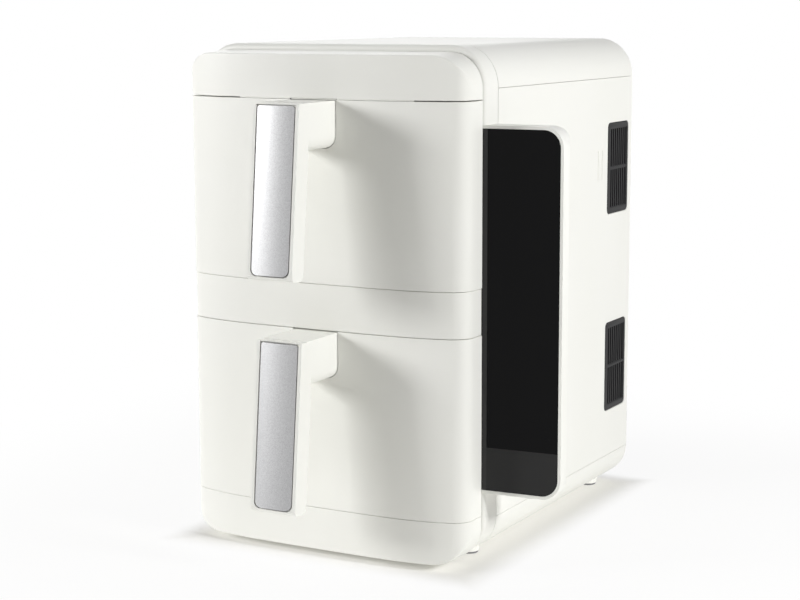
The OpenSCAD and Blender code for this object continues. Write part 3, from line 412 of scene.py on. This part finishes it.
def solder_mask(tree, place):
    """FR4 board under solder mask: glossy green with the copper tracks showing as a paler grid."""
    mask, track = linear(colours().mask), linear(colours().tracks)
    # A texture unit of 25.4 mm is ten times 2.54 mm, the spacing of through-hole parts.
    grid = {"Vector": place, "Scale": 1 / (25.4 * MM), "Mortar Size": 0.01}
    lines = add(tree, "TexBrick", grid).outputs["Fac"]
    return {
        "Base Color": add(tree, "Mix", {0: lines, 6: mask, 7: track}, data_type="RGBA"),
        "Roughness": add(tree, "MapRange", {"Value": lines, "To Min": 0.22, "To Max": 0.32}),
        "IOR": 1.5,
    }


MATERIALS = {}


def make_materials():
    """Makes one material for each of the record's slots."""
    c = colours()
    resin, metal = textured_resin, worked_metal
    for slot, *facts in (
        ("white_abs", "ABS, spark-eroded satin", moulded_abs),
        ("black_glass", "Glass, back-printed black", printed_glass),
        ("silver_paint", "Lacquer, sprayed silver flake", flake_paint),
        ("nonstick", "PTFE, sprayed and baked", sprayed_nonstick),
        ("circuit_board", "FR4 board, solder mask", solder_mask),
        # A resin's colour, roughness, size and depth of grain, and gloss.
        ("charcoal_plastic", "PA6, moulded charcoal", resin, c.charcoal, 0.5, 0.5, 0.04, 0.2),
        ("silicone", "Silicone, moulded", resin, c.rubber, 0.62, 0.4, 0.02, 0.4),
        # A metal's colour, roughness, size of grain, and spangle.
        ("aluminised_steel", "Steel sheet, hot-dip aluminised", metal, c.steel, 0.36, 0.6, 0.7),
        ("zinc_steel", "Steel, zinc plated", metal, c.zinc, 0.32, 0.4, 0.2),
        ("heater_steel", "Steel tube, heat stained", metal, c.element, 0.45, 0.5, 0.5),
    ):
        MATERIALS[slot] = new_material(*facts)


# ---- making pieces ----


def spaced(start, end, steps):
    """Evenly spaced values from start to end."""
    return [start + (end - start) * k / steps for k in range(steps + 1)]


def angles(start, end, steps):
    """Evenly spaced angles in radians, from a start and an end in degrees."""
    return [math.radians(turn) for turn in spaced(start, end, steps)]


def arc(radius, start, end, steps):
    """Points of an arc round 0, 0, by angles in degrees."""
    return [(radius * math.cos(t), radius * math.sin(t)) for t in angles(start, end, steps)]


def shade(mesh):
    """Smooth shading, with the sharp edges kept."""
    for polygon in mesh.polygons:
        polygon.use_smooth = True
    mesh.set_sharp_from_angle(angle=SHARP)


def as_piece(node, kind, mesh):
    """Puts a mesh in the scene as the piece that stands for a CAD node."""
    piece = bpy.data.objects.new(f"{node}_{kind}", mesh)
    bpy.context.scene.collection.objects.link(piece)
    mesh.materials.append(MATERIALS[SLOTS[node]])
    shade(mesh)
    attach(piece, BODIES[node])
    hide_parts(node)
    return piece


def cut(piece, solid):
    """Cuts a solid out of a piece and bakes the result into the piece's mesh."""
    tool = bpy.data.objects.new("tool", solid)
    bpy.context.scene.collection.objects.link(tool)
    step = piece.modifiers.new("Cut", "BOOLEAN")
    step.operation = "DIFFERENCE"
    step.solver = "EXACT"
    step.object = tool
    graph = bpy.context.evaluated_depsgraph_get()
    whole, piece.data = piece.data, bpy.data.meshes.new_from_object(piece.evaluated_get(graph))
    piece.modifiers.clear()
    bpy.data.objects.remove(tool)
    for spent in (whole, solid):
        bpy.data.meshes.remove(spent)
    shade(piece.data)


def round_rims(piece, width, segments=3, limit=40):
    """Rounds the edges sharper than a limit in degrees and evens out the shading next to them."""
    bevel = piece.modifiers.new("Rims", "BEVEL")
    bevel.width = width
    bevel.segments = segments
    bevel.limit_method = "ANGLE"
    bevel.angle_limit = math.radians(limit)
    bevel.miter_outer = "MITER_ARC"
    even = piece.modifiers.new("Even shading", "WEIGHTED_NORMAL")
    even.weight = 80
    even.keep_sharp = True


def clean_copy(node):
    """A copy of a CAD node's mesh with its seams welded and its flat faces made whole."""
    work = bmesh.new()
    work.from_mesh(frame["nodes"][node].data)
    bmesh.ops.remove_doubles(work, verts=work.verts, dist=CAD_WELD)
    bmesh.ops.dissolve_limit(work, angle_limit=CAD_FLAT, verts=work.verts, edges=work.edges)
    mesh = bpy.data.meshes.new("form")
    work.to_mesh(mesh)
    work.free()
    return mesh


def refined(node, width, segments=3, limit=40):
    """A piece with a CAD node's form and real rounded rims."""
    piece = as_piece(node, "moulding", clean_copy(node))
    round_rims(piece, width, segments, limit)
    return piece


class Weld:
    """Collects faces given by their corner points and shares equal corners."""

    def __init__(self):
        self.points = []
        self.faces = []
        self.index = {}

    def face(self, *points):
        ring = []
        for point in points:
            key = tuple(round(c / SAME_CORNER) for c in point)
            if key not in self.index:
                self.index[key] = len(self.points)
                self.points.append(tuple(point))
            if self.index[key] not in ring:
                ring.append(self.index[key])
        if len(ring) > 2:
            self.faces.append(ring)

    def strips(self, *rows):
        """Quads between each row of points and the next, all equally long."""
        for first, second in zip(rows, rows[1:]):
            for k in range(len(first) - 1):
                self.face(first[k], first[k + 1], second[k + 1], second[k])

    def bands(self, *rings):
        """Quads between each closed ring of points and the next."""
        self.strips(*(ring + ring[:1] for ring in rings))

    def mesh(self):
        mesh = bpy.data.meshes.new("form")
        mesh.from_pydata(self.points, [], self.faces)
        work = bmesh.new()
        work.from_mesh(mesh)
        bmesh.ops.recalc_face_normals(work, faces=work.faces)
        work.to_mesh(mesh)
        work.free()
        return mesh


def rounded_box(u, v, half_u, half_v, r):
    """A rounded rectangle round u, v as outline points."""
    points = []
    for side_u, side_v, start in ((1, 1, 0), (-1, 1, 90), (-1, -1, 180), (1, -1, 270)):
        centre_u, centre_v = u + side_u * (half_u - r), v + side_v * (half_v - r)
        corner = arc(r, start, start + 90, VENT_STEPS)
        points += [(centre_u + a, centre_v + b) for a, b in corner]
    return points


def prism(outline, axis, start, end):
    """A closed solid: an outline of (u, v) points swept along an axis between two places.
    The outline lies in x, z for axis y, in y, z for axis x, and in x, y for axis z."""
    place = {
        "x": lambda u, v, w: (w, u, v),
        "y": lambda u, v, w: (u, w, v),
        "z": lambda u, v, w: (u, v, w),
    }[axis]
    weld = Weld()
    near = [place(u, v, start) for u, v in outline]
    far = [place(u, v, end) for u, v in outline]
    weld.face(*near)
    weld.face(*far)
    weld.bands(near, far)
    return weld.mesh()


# ---- the bowed front ----


def crown_half():
    """Half width of the bowed face, up to the round upright edges."""
    s = sizes()
    return PANEL_HALF - s.edge_radius * (1 - math.sin(s.edge_angle))


def face_y(x):
    """Depth of the front's face at a distance from its middle, behind its foremost line."""
    s = sizes()
    reach = abs(x)
    half = crown_half()
    if reach <= half:
        return s.crown * (reach / half) ** (math.tan(s.edge_angle) * half / s.crown)
    across = reach - half + s.edge_radius * math.sin(s.edge_angle)
    ahead = math.sqrt(max(s.edge_radius**2 - across**2, 0))
    return s.crown + s.edge_radius * math.cos(s.edge_angle) - ahead


def half_plan():
    """Distances from the middle at which the front's plan is drawn, out to its side."""
    s = sizes()
    half = crown_half()
    flat = PANEL_HALF - s.corner_radius
    base = half - s.edge_radius * math.sin(s.edge_angle)
    bow = spaced(0, flat, BOW_STEPS) + spaced(flat, half, SHOULDER_STEPS)[1:-1]
    turns = angles(math.degrees(s.edge_angle), 90, EDGE_STEPS)
    return bow + [base + s.edge_radius * math.sin(t) for t in turns]


def plan_points(inset):
    """The front's plan from its left rear edge round to its right rear edge, as points with
    their outward normals, moved in by an inset."""
    step = 0.01 * MM
    right = []
    for x in half_plan():
        if x + step <= PANEL_HALF:
            slope = (face_y(x + step) - face_y(x - step)) / (2 * step) if x > step else 0.0
            normal = Vector((slope, -1)).normalized()
        else:
            normal = Vector((1, 0))
        right.append((Vector((x, face_y(x))) - normal * inset, normal))
    back = PANEL_BACK - PANEL_FRONT + sizes().skirt
    right.append((Vector((PANEL_HALF - inset, back)), Vector((1, 0))))
    left = [(Vector((-p.x, p.y)), Vector((-n.x, n.y))) for p, n in reversed(right) if p.x > HAIR]
    return left + right


def brow(distance, radius):
    """Set-back of a rounded edge at a distance from it."""
    if distance >= radius:
        return 0.0
    return radius - math.sqrt(radius**2 - (radius - distance) ** 2)


def front_row(points, z, extra):
    """One level of the front in frame coordinates."""
    return [(MIDDLE_X + p.x - n.x * extra, PANEL_FRONT + p.y - n.y * extra, z) for p, n in points]


def seam_rows(points, z, way):
    """Levels of the front near a seam, from the seam away, set in to round it."""
    r = sizes().seam_radius
    turns = angles(0, 90, SEAM_STEPS)
    levels = [(z + way * r * (1 - math.cos(t)), r * (1 - math.sin(t))) for t in turns]
    return [front_row(points, *level) for level in levels + [(z + way * 2 * r, 0.0)]]


def straight_moulding(node, z0, z1, inset=0.0):
    """A front moulding between two seams, hollow from the back."""
    s = sizes()
    weld = Weld()
    points = plan_points(inset)
    rows = seam_rows(points, z0, 1) + seam_rows(points, z1, -1)[::-1]
    weld.strips(*rows)
    weld.face(*rows[0])
    weld.face(*rows[-1])
    # The open back: a rim as wide as the wall, and a pocket behind the face.
    rim = [row[0] for row in rows] + [row[-1] for row in reversed(rows)]
    depth = PANEL_FRONT + s.crown + s.edge_radius
    inner, deep = [], []
    for x, y, z in rim:
        side = -1 if x < MIDDLE_X else 1
        level = min(max(z, z0 + s.wall), z1 - s.wall)
        across = MIDDLE_X + side * (PANEL_HALF - inset - s.wall)
        inner.append((across, y, level))
        deep.append((across, depth, level))
    weld.bands(rim, inner, deep)
    weld.face(*deep)
    return as_piece(node, "moulding", weld.mesh())


def cornered_moulding(node, seam_z, edge_z):
    """The top or bottom strip of the front, with its two round corners."""
    s = sizes()
    weld = Weld()
    way = 1 if edge_z > seam_z else -1
    points = plan_points(0.0)
    centre_z = edge_z - way * s.corner_radius
    flat = PANEL_HALF - s.corner_radius
    # The face is lower than the back edge by the draft, so its corners are a little squashed.
    squash = 1 - s.draft / s.corner_radius
    rows = seam_rows(points, seam_z, way) + [front_row(points, centre_z, 0.0)]
    weld.strips(*rows)
    weld.face(*rows[0])
    plan = half_plan()
    rings = [x - flat for x in plan if x >= flat - HAIR]
    across = sorted({round(side * x, 9) for x in plan if x <= flat + HAIR for side in (-1, 1)})

    def face_point(x, z, distance, radius):
        return (MIDDLE_X + x, PANEL_FRONT + face_y(x) + brow(distance, radius), z)

    middle = [
        [
            face_point(x, centre_z + way * ring * squash, s.corner_radius - ring, s.brow_radius)
            for x in across
        ]
        for ring in rings
    ]
    weld.strips(*middle)
    outline = [middle[-1]]
    turns = angles(0, 90, EDGE_STEPS)
    for side in (-1, 1):
        fans = [
            [
                face_point(
                    side * (flat + ring * math.cos(t)),
                    centre_z + way * ring * squash * math.sin(t),
                    s.corner_radius - ring,
                    s.brow_radius * math.sin(t) + HAIR,
                )
                for t in turns
            ]
            for ring in rings
        ]
        weld.strips(*fans)
        outline.append(fans[-1])
    back = PANEL_BACK + s.skirt

    def drawn_out(edge, part):
        """An edge's copy on the drafted wall, part of the way to the back."""
        return [
            (x, y + (back - y) * part, centre_z + (z - centre_z) * (1 + (1 / squash - 1) * part))
            for x, y, z in edge
        ]

    # A row just behind the rounded edge keeps its shading off the long side wall.
    held = 0.04
    for edge in outline:
        weld.strips(edge, drawn_out(edge, held), drawn_out(edge, 1.0))
    top, left, right = (drawn_out(edge, 1.0) for edge in outline)
    rim = [(row[0][0], back, row[0][2]) for row in rows] + left[1:] + top[1:] + right[-2::-1]
    rim += [(row[-1][0], back, row[-1][2]) for row in reversed(rows[:-1])]
    weld.face(*rim)
    return as_piece(node, "moulding", weld.mesh())


class FRYER_OT_front(bpy.types.Operator):
    """Builds the three fixed strips of the bowed front"""

    bl_idname = "fryer.front"
    bl_label = "Front strips"

    def execute(self, context):
        s = sizes()
        seam = low("top_fascia").z
        self.lip(cornered_moulding("top_fascia", seam, PANEL_TOP), seam)
        straight_moulding(
            "middle_fascia",
            low("middle_fascia").z - s.middle_drop,
            high("middle_fascia").z + s.middle_lift,
            s.strip_inset,
        )
        cornered_moulding("base_fascia", high("base_fascia").z + s.base_lift, PANEL_BOTTOM)
        return {"FINISHED"}

    def lip(self, top, seam):
        """Adds tongues under the top strip that part-fill the seam below it: one on each side of
        the handle's root, and a deeper one over the root."""
        s = sizes()
        clearance, thickness, overlap = 1 * MM, 3 * MM, 1 * MM
        under = high("upper_drawer_front").z - s.upper_drop + s.lip_gap
        above_root = high("upper_handle").z + 2 * s.lip_gap
        root = s.handle_width / 2
        joined = bmesh.new()
        joined.from_mesh(top.data)
        for start, end, depth, foot in (
            (-s.lip_left, -root - clearance, s.lip_depth, under),
            (-root, root, 2 * s.lip_depth, above_root),
            (root + clearance, s.lip_right, s.lip_depth, under),
        ):
            steps = spaced(start, end, LIP_STEPS)
            front = [(MIDDLE_X + x, PANEL_FRONT + face_y(x) + depth) for x in steps]
            back = [(x, y + thickness) for x, y in reversed(front)]
            tongue = prism(front + back, "z", foot, seam + overlap)
            joined.from_mesh(tongue)
            bpy.data.meshes.remove(tongue)
        joined.to_mesh(top.data)
        joined.free()
        shade(top.data)


# ---- drawers ----


def neck_outline(top, bottom, grow):
    """Front view of a handle's neck, its lower corners round, as x, z points."""
    s = sizes()
    half = s.handle_width / 2 + grow
    r = s.neck_radius + grow
    level = bottom - grow + r
    right = [(MIDDLE_X + half - r + u, level + v) for u, v in arc(r, 0, -90, NECK_STEPS)]
    left = [(MIDDLE_X - half + r + u, level + v) for u, v in arc(r, -90, -180, NECK_STEPS)]
    return [(MIDDLE_X + half, top)] + right + left + [(MIDDLE_X - half, top)]


class FRYER_OT_drawer_fronts(bpy.types.Operator):
    """Builds the two bowed drawer fronts with the notch for each handle's root"""

    bl_idname = "fryer.drawer_fronts"
    bl_label = "Drawer fronts"

    def execute(self, context):
        s = sizes()
        # The cutter stands clear of the front, ahead of it and above it.
        ahead, above = 5 * MM, 2 * MM
        for name, drop in (("upper", s.upper_drop), ("lower", 0.0)):
            node = name + "_drawer_front"
            piece = straight_moulding(node, low(node).z, high(node).z - drop)
            neck_foot = high(name + "_handle").z - s.neck_height
            notch = neck_outline(high(node).z + above, neck_foot, s.handle_gap)
            cut(piece, prism(notch, "y", PANEL_FRONT - ahead, PANEL_FRONT + s.notch_depth))
        return {"FINISHED"}


class FRYER_OT_handles(bpy.types.Operator):
    """Builds the two handles and their convex silver plates"""

    bl_idname = "fryer.handles"
    bl_label = "Handles and plates"

    def execute(self, context):
        for name in ("upper", "lower"):
            refined(name + "_handle", sizes().handle_rim, segments=4)
            self.plate(name)
        return {"FINISHED"}

    def plate(self, name):
        """A convex plate let into the grip, square above and round below."""
        s = sizes()
        node = name + "_handle_plate"
        half = s.plate_width / 2
        full = s.plate_foot - s.plate_head

        def corner_drop(x, r):
            over = abs(x) - (half - r)
            return 0.0 if over <= 0 else r - math.sqrt(max(r * r - over * over, 0))

        def rise(x):
            return s.plate_proud - (s.plate_curve - math.sqrt(s.plate_curve**2 - x * x))

        def level(x, v):
            head = corner_drop(x, s.plate_shoulder) * (1 - v)
            return -head - v * (full - corner_drop(x, s.plate_corner))

        # Columns crowd towards the sides and rows towards both ends, where the corners turn.
        across = [half * math.sin(math.pi / 2 * t) for t in spaced(-1, 1, PLATE_STEPS)]
        along = (0.0, 0.003, 0.01, 0.25, 0.5, 0.75, 0.94, 0.97, 0.985, 1.0)
        rows = [[(x, -rise(x), level(x, v)) for x in across] for v in along]
        weld = Weld()
        weld.strips(*rows)
        edge = rows[0] + [row[-1] for row in rows[1:]] + rows[-1][-2::-1]
        edge += [row[0] for row in rows[-2:0:-1]]
        rear = [(x, s.plate_back, z) for x, y, z in edge]
        weld.bands(edge, rear)
        weld.face(*rear)
        mesh = weld.mesh()
        # Laid along the grip: its upper edge lies just below the handle's top.
        lean = s.handle_lean
        top_y = low(node).y + s.plate_proud * math.cos(lean) + s.plate_foot * math.sin(lean)
        mesh.transform(
            Matrix.Translation((MIDDLE_X, top_y, high(name + "_handle").z))
            @ Matrix.Rotation(-lean, 4, "X")
            @ Matrix.Translation((0, 0, -s.plate_head))
        )
        round_rims(as_piece(node, "lacquered", mesh), s.plate_rim, limit=50)


class FRYER_OT_pans(bpy.types.Operator):
    """Rounds the rims of the pans, crisper plates, studs and drawer backs"""

    bl_idname = "fryer.pans"
    bl_label = "Pans and drawer backs"

    def execute(self, context):
        sheet, thick = 0.3 * MM, 0.5 * MM
        for name in ("upper_", "lower_"):
            for part, rim in (
                ("pan", thick),
                ("crisper_plate", sheet),
                ("bumpers", thick),
                ("drawer_back", thick),
            ):
                refined(name + part, rim, segments=2, limit=50)
        return {"FINISHED"}


# ---- housing ----


class FRYER_OT_covers(bpy.types.Operator):
    """Builds the front frame with its wing, the top cover, the base, the feet and the gland"""

    bl_idname = "fryer.covers"
    bl_label = "Covers"

    def execute(self, context):
        s = sizes()
        r = s.rim_radius
        mesh = clean_copy("front_frame")
        self.round_collar(mesh)
        round_rims(as_piece("front_frame", "moulding", mesh), 1.3 * r)
        # The covers reach closer to the side panels than their plain forms, so the seams on
        # the sides are fine lines. Only their edges along a seam lie this near to it.
        near = 0.7 * MM
        for node, seam, way in (
            ("top_cover", high("side_panel_left").z, -1),
            ("base_pan", low("side_panel_left").z, 1),
        ):
            for vertex in refined(node, s.panel_rim, segments=2).data.vertices:
                if -near < way * (vertex.co.z - seam) < 0:
                    vertex.co.z += way * s.cover_reach
        refined("feet", r)
        refined("foot_pads", 0.5 * r, segments=2)
        refined("cord_gland", 0.8 * r)
        return {"FINISHED"}

    def round_collar(self, mesh):
        """Rounds the collar's outer front edge, the bright band round the bowed front."""
        s = sizes()
        front = low("front_frame").y
        half = (high("top_cover").x - low("top_cover").x) / 2
        top, bottom = high("top_cover").z, low("base_pan").z
        on_face, on_outline, crease = 0.02 * MM, 0.3 * MM, math.radians(60)

        def inset(point):
            """Distance of a point from the housing's outline, inwards."""
            across = abs(point.x - MIDDLE_X)
            near_top = point.z > (top + bottom) / 2
            radius = s.cover_radius if near_top else s.base_radius
            height = (top - point.z) if near_top else (point.z - bottom)
            u, v = across - (half - radius), radius - height
            if u > 0 and v > 0:
                return radius - math.hypot(u, v)
            return min(half - across, height)

        work = bmesh.new()
        work.from_mesh(mesh)
        rim = [
            edge
            for edge in work.edges
            if len(edge.link_faces) == 2
            and edge.calc_face_angle(0) > crease
            and all(abs(v.co.y - front) < on_face and inset(v.co) < on_outline for v in edge.verts)
        ]
        quarter_round = {"offset": s.collar_round, "segments": COLLAR_STEPS, "profile": 0.5}
        bmesh.ops.bevel(work, geom=rim, affect="EDGES", **quarter_round)
        work.to_mesh(mesh)
        work.free()


class FRYER_OT_panel_glass(bpy.types.Operator):
    """Builds the black glass of the control wing"""

    bl_idname = "fryer.panel_glass"
    bl_label = "Panel glass"

    def execute(self, context):
        refined("control_glass", sizes().glass_rim)
        return {"FINISHED"}


class FRYER_OT_vents(bpy.types.Operator):
    """Builds the slatted vents of both sides"""

    bl_idname = "fryer.vents"
    bl_label = "Side vents"

    def execute(self, context):
        for name in ("upper", "lower"):
            for side, way in (("right", 1), ("left", -1)):
                self.vent(f"{name}_vent_{side}", way)
        return {"FINISHED"}

    def vent(self, node, way):
        """A frame with a rounded rim round two sunk panels of upright slats."""
        s = sizes()
        lo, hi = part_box(node)
        face = hi.x if way > 0 else lo.x
        middle_y, middle_z = (lo.y + hi.y) / 2, (lo.z + hi.z) / 2
        half_y, half_z = (hi.y - lo.y) / 2, s.vent_height / 2
        weld = Weld()
        rim = s.vent_rim
        # A row just behind the rounded rim keeps its shading off the frame's side.
        held = 1.6 * rim
        levels = [(hi.x - lo.x, 0.0), (held, 0.0)]
        levels += [(rim - v, rim - u) for u, v in arc(rim, 0, 90, RIM_STEPS)]
        rings = []
        for depth, inset in levels:
            form = half_y - inset, half_z - inset, s.vent_corner - inset
            outline = rounded_box(middle_y, middle_z, *form)
            rings.append([(face - way * depth, y, z) for y, z in outline])
        weld.bands(*rings)
        weld.face(*rings[0])
        weld.face(*rings[-1])
        piece = as_piece(node, "grille", weld.mesh())
        inner_y = half_y - (s.vent_front + s.vent_rear) / 2
        panel_y = middle_y + (s.vent_front - s.vent_rear) / 2
        panel_z = (half_z - s.vent_head - s.vent_bar / 2) / 2
        # In pitches: from a panel's side to the middle of its first slot, and half a slot.
        margin, slot_half = 0.7, 0.3
        pitch = 2 * inner_y / (s.vent_slots - 1 + 2 * margin)
        panel_round, slot_round, slot_inset = 0.8 * MM, 0.4 * MM, 0.6 * MM
        outlines = []
        for side in (-1, 1):
            centre = middle_z + side * (s.vent_bar / 2 + panel_z)
            sunk = rounded_box(panel_y, centre, inner_y, panel_z, panel_round)
            outlines.append((sunk, 1 * MM, s.vent_sink))
            for k in range(s.vent_slots):
                place = panel_y - inner_y + pitch * (margin + k)
                form = slot_half * pitch, panel_z - slot_inset, slot_round
                outlines.append((rounded_box(place, centre, *form), 2 * MM, s.vent_depth))
        for outline, clear, depth in outlines:
            cut(piece, prism(outline, "x", *sorted((face + way * clear, face - way * depth))))


class FRYER_OT_finishes(bpy.types.Operator):
    """Gives the remaining CAD pieces their finishes"""

    bl_idname = "fryer.finishes"
    bl_label = "Finishes"

    def execute(self, context):
        for node, shape in frame["nodes"].items():
            shape.data.materials.clear()
            shape.data.materials.append(MATERIALS[SLOTS[node]])
        return {"FINISHED"}


# ---- studio ----


def seen_rays(tree):
    """1 where a surface is seen, mirrored or looked at through glass, 0 where it lights others."""
    ray = add(tree, "LightPath").outputs
    seen = ray["Is Camera Ray"]
    for other in ("Is Glossy Ray", "Is Transmission Ray"):
        seen = add(tree, "Math", {0: seen, 1: ray[other]}, operation="MAXIMUM")
    return seen


def footprint_distance(tree, place):
    """How far a point of the floor lies outside the body's rectangle on it, which is shifted
    away from the key light, as the shadow is."""
    back = high("rear_cover").y
    middle = Vector((MIDDLE_X + studio().drift, (PANEL_FRONT + back) / 2, 0))
    moved = add(tree, "VectorMath", {0: place, 1: middle}, operation="SUBTRACT")
    parts = add(tree, "SeparateXYZ", {0: moved}).outputs
    beyond = []
    for part, reach in ((parts["X"], PANEL_HALF), (parts["Y"], back - middle.y)):
        away = add(tree, "Math", {0: part}, operation="ABSOLUTE")
        beyond.append(add(tree, "Math", {0: away, 1: reach}, operation="SUBTRACT"))
    return add(tree, "Math", {0: beyond[0], 1: beyond[1]}, operation="MAXIMUM")


def paper(tree, place):
    """White studio paper: matt close to the fryer, where its shadow falls, and paled to plain
    white further off. The lit roll sends light back up round the fryer."""
    s = studio()
    # Clumps of fibres are some millimetres wide.
    fibres = add(tree, "TexNoise", {"Vector": place, "Scale": 1 / (3 * MM), "Detail": 2.0})
    tints = {0: fibres, 6: linear(colours().paper), 7: linear(colours().paper_fibre)}
    matt = add(tree, "BsdfDiffuse", {"Color": add(tree, "Mix", tints, data_type="RGBA")})
    white = add(tree, "Emission", {"Color": WHITE, "Strength": 1.0})
    seen = seen_rays(tree)
    outside = footprint_distance(tree, place)
    factor = seen
    for start, end, least in ((-s.contact_under, s.contact, 0.0), (0.0, s.paled, s.paling)):
        ramp = {"Value": outside, "From Min": start, "From Max": end, "To Min": least}
        pale = add(tree, "MapRange", ramp, interpolation_type="SMOOTHSTEP")
        factor = add(tree, "Math", {0: factor, 1: pale}, operation="MULTIPLY")
    floor = add(tree, "MixShader", {0: factor, 1: matt, 2: white})
    far = add(tree, "VectorMath", {0: place}, operation="LENGTH").outputs["Value"]
    ramp = {"Value": far, "From Min": s.glow_full, "From Max": s.glow_end}
    near = add(tree, "MapRange", {**ramp, "To Min": s.glow, "To Max": 0.0})
    unseen = add(tree, "Math", {0: 1.0, 1: seen}, operation="SUBTRACT")
    sent = add(tree, "Math", {0: near, 1: unseen}, operation="MULTIPLY")
    lit = add(tree, "Emission", {"Color": WHITE, "Strength": sent})
    return add(tree, "AddShader", {0: floor, 1: lit})


def aimed(turn, fall, roll=0.0):
    """Rotation of a camera or lamp: turned to the left from looking along +Y, tilted down by a
    fall, and rolled."""
    tilt = Matrix.Rotation(math.pi / 2 - fall, 4, "X")
    return Matrix.Rotation(turn, 4, "Z") @ tilt @ Matrix.Rotation(roll, 4, "Z")


def room():
    """An even white room: full white where it is seen or mirrored, softer as a light."""
    world = bpy.data.worlds.new("Even room")
    world.use_nodes = True
    tree = world.node_tree
    tree.nodes.clear()
    levels = {"Value": seen_rays(tree), "To Min": studio().sky, "To Max": 1.0}
    strength = add(tree, "MapRange", levels)
    light = add(tree, "Background", {"Color": WHITE, "Strength": strength})
    add(tree, "OutputWorld", {"Surface": light})
    return world


class FRYER_OT_stage(bpy.types.Operator):
    """Builds the floor, the room light, the lamps and the camera"""

    bl_idname = "fryer.stage"
    bl_label = "Studio"

    def execute(self, context):
        scene = context.scene
        scene.view_settings.view_transform = "Standard"
        weld = Weld()
        r = studio().floor_half
        weld.face((-r, -r, 0), (r, -r, 0), (r, r, 0), (-r, r, 0))
        mesh = weld.mesh()
        floor = bpy.data.objects.new("studio_floor", mesh)
        scene.collection.objects.link(floor)
        mesh.materials.append(new_material("Paper, white studio roll", paper))
        scene.world = room()
        self.camera(scene)
        self.lamps(scene)
        return {"FINISHED"}

    def camera(self, scene):
        """The camera, on a sensor 36 mm wide."""
        s = studio()
        camera = bpy.data.cameras.new("camera")
        camera.lens = s.lens
        camera.sensor_width = 36
        camera.clip_start, camera.clip_end = 0.01, 50
        shown = bpy.data.objects.new("camera", camera)
        scene.collection.objects.link(shown)
        place = Matrix.Translation((s.camera_x, -s.camera_y, s.camera_z))
        shown.matrix_world = place @ aimed(s.yaw, s.pitch, s.roll)
        scene.camera = shown

    def lamps(self, scene):
        """Square soft lamps, aimed at the fryer's middle from a turn off its front and a rise,
        both in degrees, at a reach in metres."""
        s = studio()
        target = Matrix.Translation((MIDDLE_X, -0.05, 0.2))
        for name, turn, rise, reach, size, watts in (
            ("key_lamp", -53, 17, 2.5, 0.66, s.key_power),
            ("side_lamp", 85, 23, 1.9, 0.4, s.side_power),
            ("rear_lamp", 215, 30, 1.9, 1.0, s.rear_power),
            ("top_lamp", 0, 88, 1.9, 1.2, s.top_power),
        ):
            light = bpy.data.lights.new(name, "AREA")
            light.size = size
            light.energy = watts
            shown = bpy.data.objects.new(name, light)
            scene.collection.objects.link(shown)
            back_off = Matrix.Translation((0, 0, reach))
            shown.matrix_world = target @ aimed(math.radians(turn), math.radians(rise)) @ back_off
            shown.visible_camera = False
            # The side lamp's mirror image would burn out the cover's top, seen from the left rear.
            shown.visible_glossy = name != "side_lamp"


# ---- the add-on ----

GROUPS = {"fryer_sizes": FryerSizes, "fryer_colours": FryerColours, "fryer_stage": FryerStage}
OPERATORS = (
    FRYER_OT_front,
    FRYER_OT_drawer_fronts,
    FRYER_OT_handles,
    FRYER_OT_pans,
    FRYER_OT_covers,
    FRYER_OT_panel_glass,
    FRYER_OT_vents,
    FRYER_OT_finishes,
    FRYER_OT_stage,
)


class FRYER_PT_panel(bpy.types.Panel):
    """Lists the fryer's sizes, colours and steps in the sidebar"""

    bl_idname = "FRYER_PT_panel"
    bl_label = "Air Fryer"
    bl_space_type = "VIEW_3D"
    bl_region_type = "UI"
    bl_category = "Air Fryer"

    def draw(self, context):
        for operator in OPERATORS:
            self.layout.operator(operator.bl_idname)
        for name in GROUPS:
            group = getattr(context.scene, name)
            box = self.layout.box()
            box.label(text=name.removeprefix("fryer_").title())
            for value in group.__annotations__:
                box.prop(group, value)


CLASSES = (*GROUPS.values(), *OPERATORS, FRYER_PT_panel)


def register():
    for item in CLASSES:
        bpy.utils.register_class(item)
    for name, group in GROUPS.items():
        setattr(bpy.types.Scene, name, bpy.props.PointerProperty(type=group))


def unregister():
    for name in GROUPS:
        delattr(bpy.types.Scene, name)
    for item in reversed(CLASSES):
        bpy.utils.unregister_class(item)


def main():
    register()
    make_materials()
    for operator in OPERATORS:
        group, name = operator.bl_idname.split(".")
        getattr(getattr(bpy.ops, group), name)()


if __name__ == "__main__":
    main()
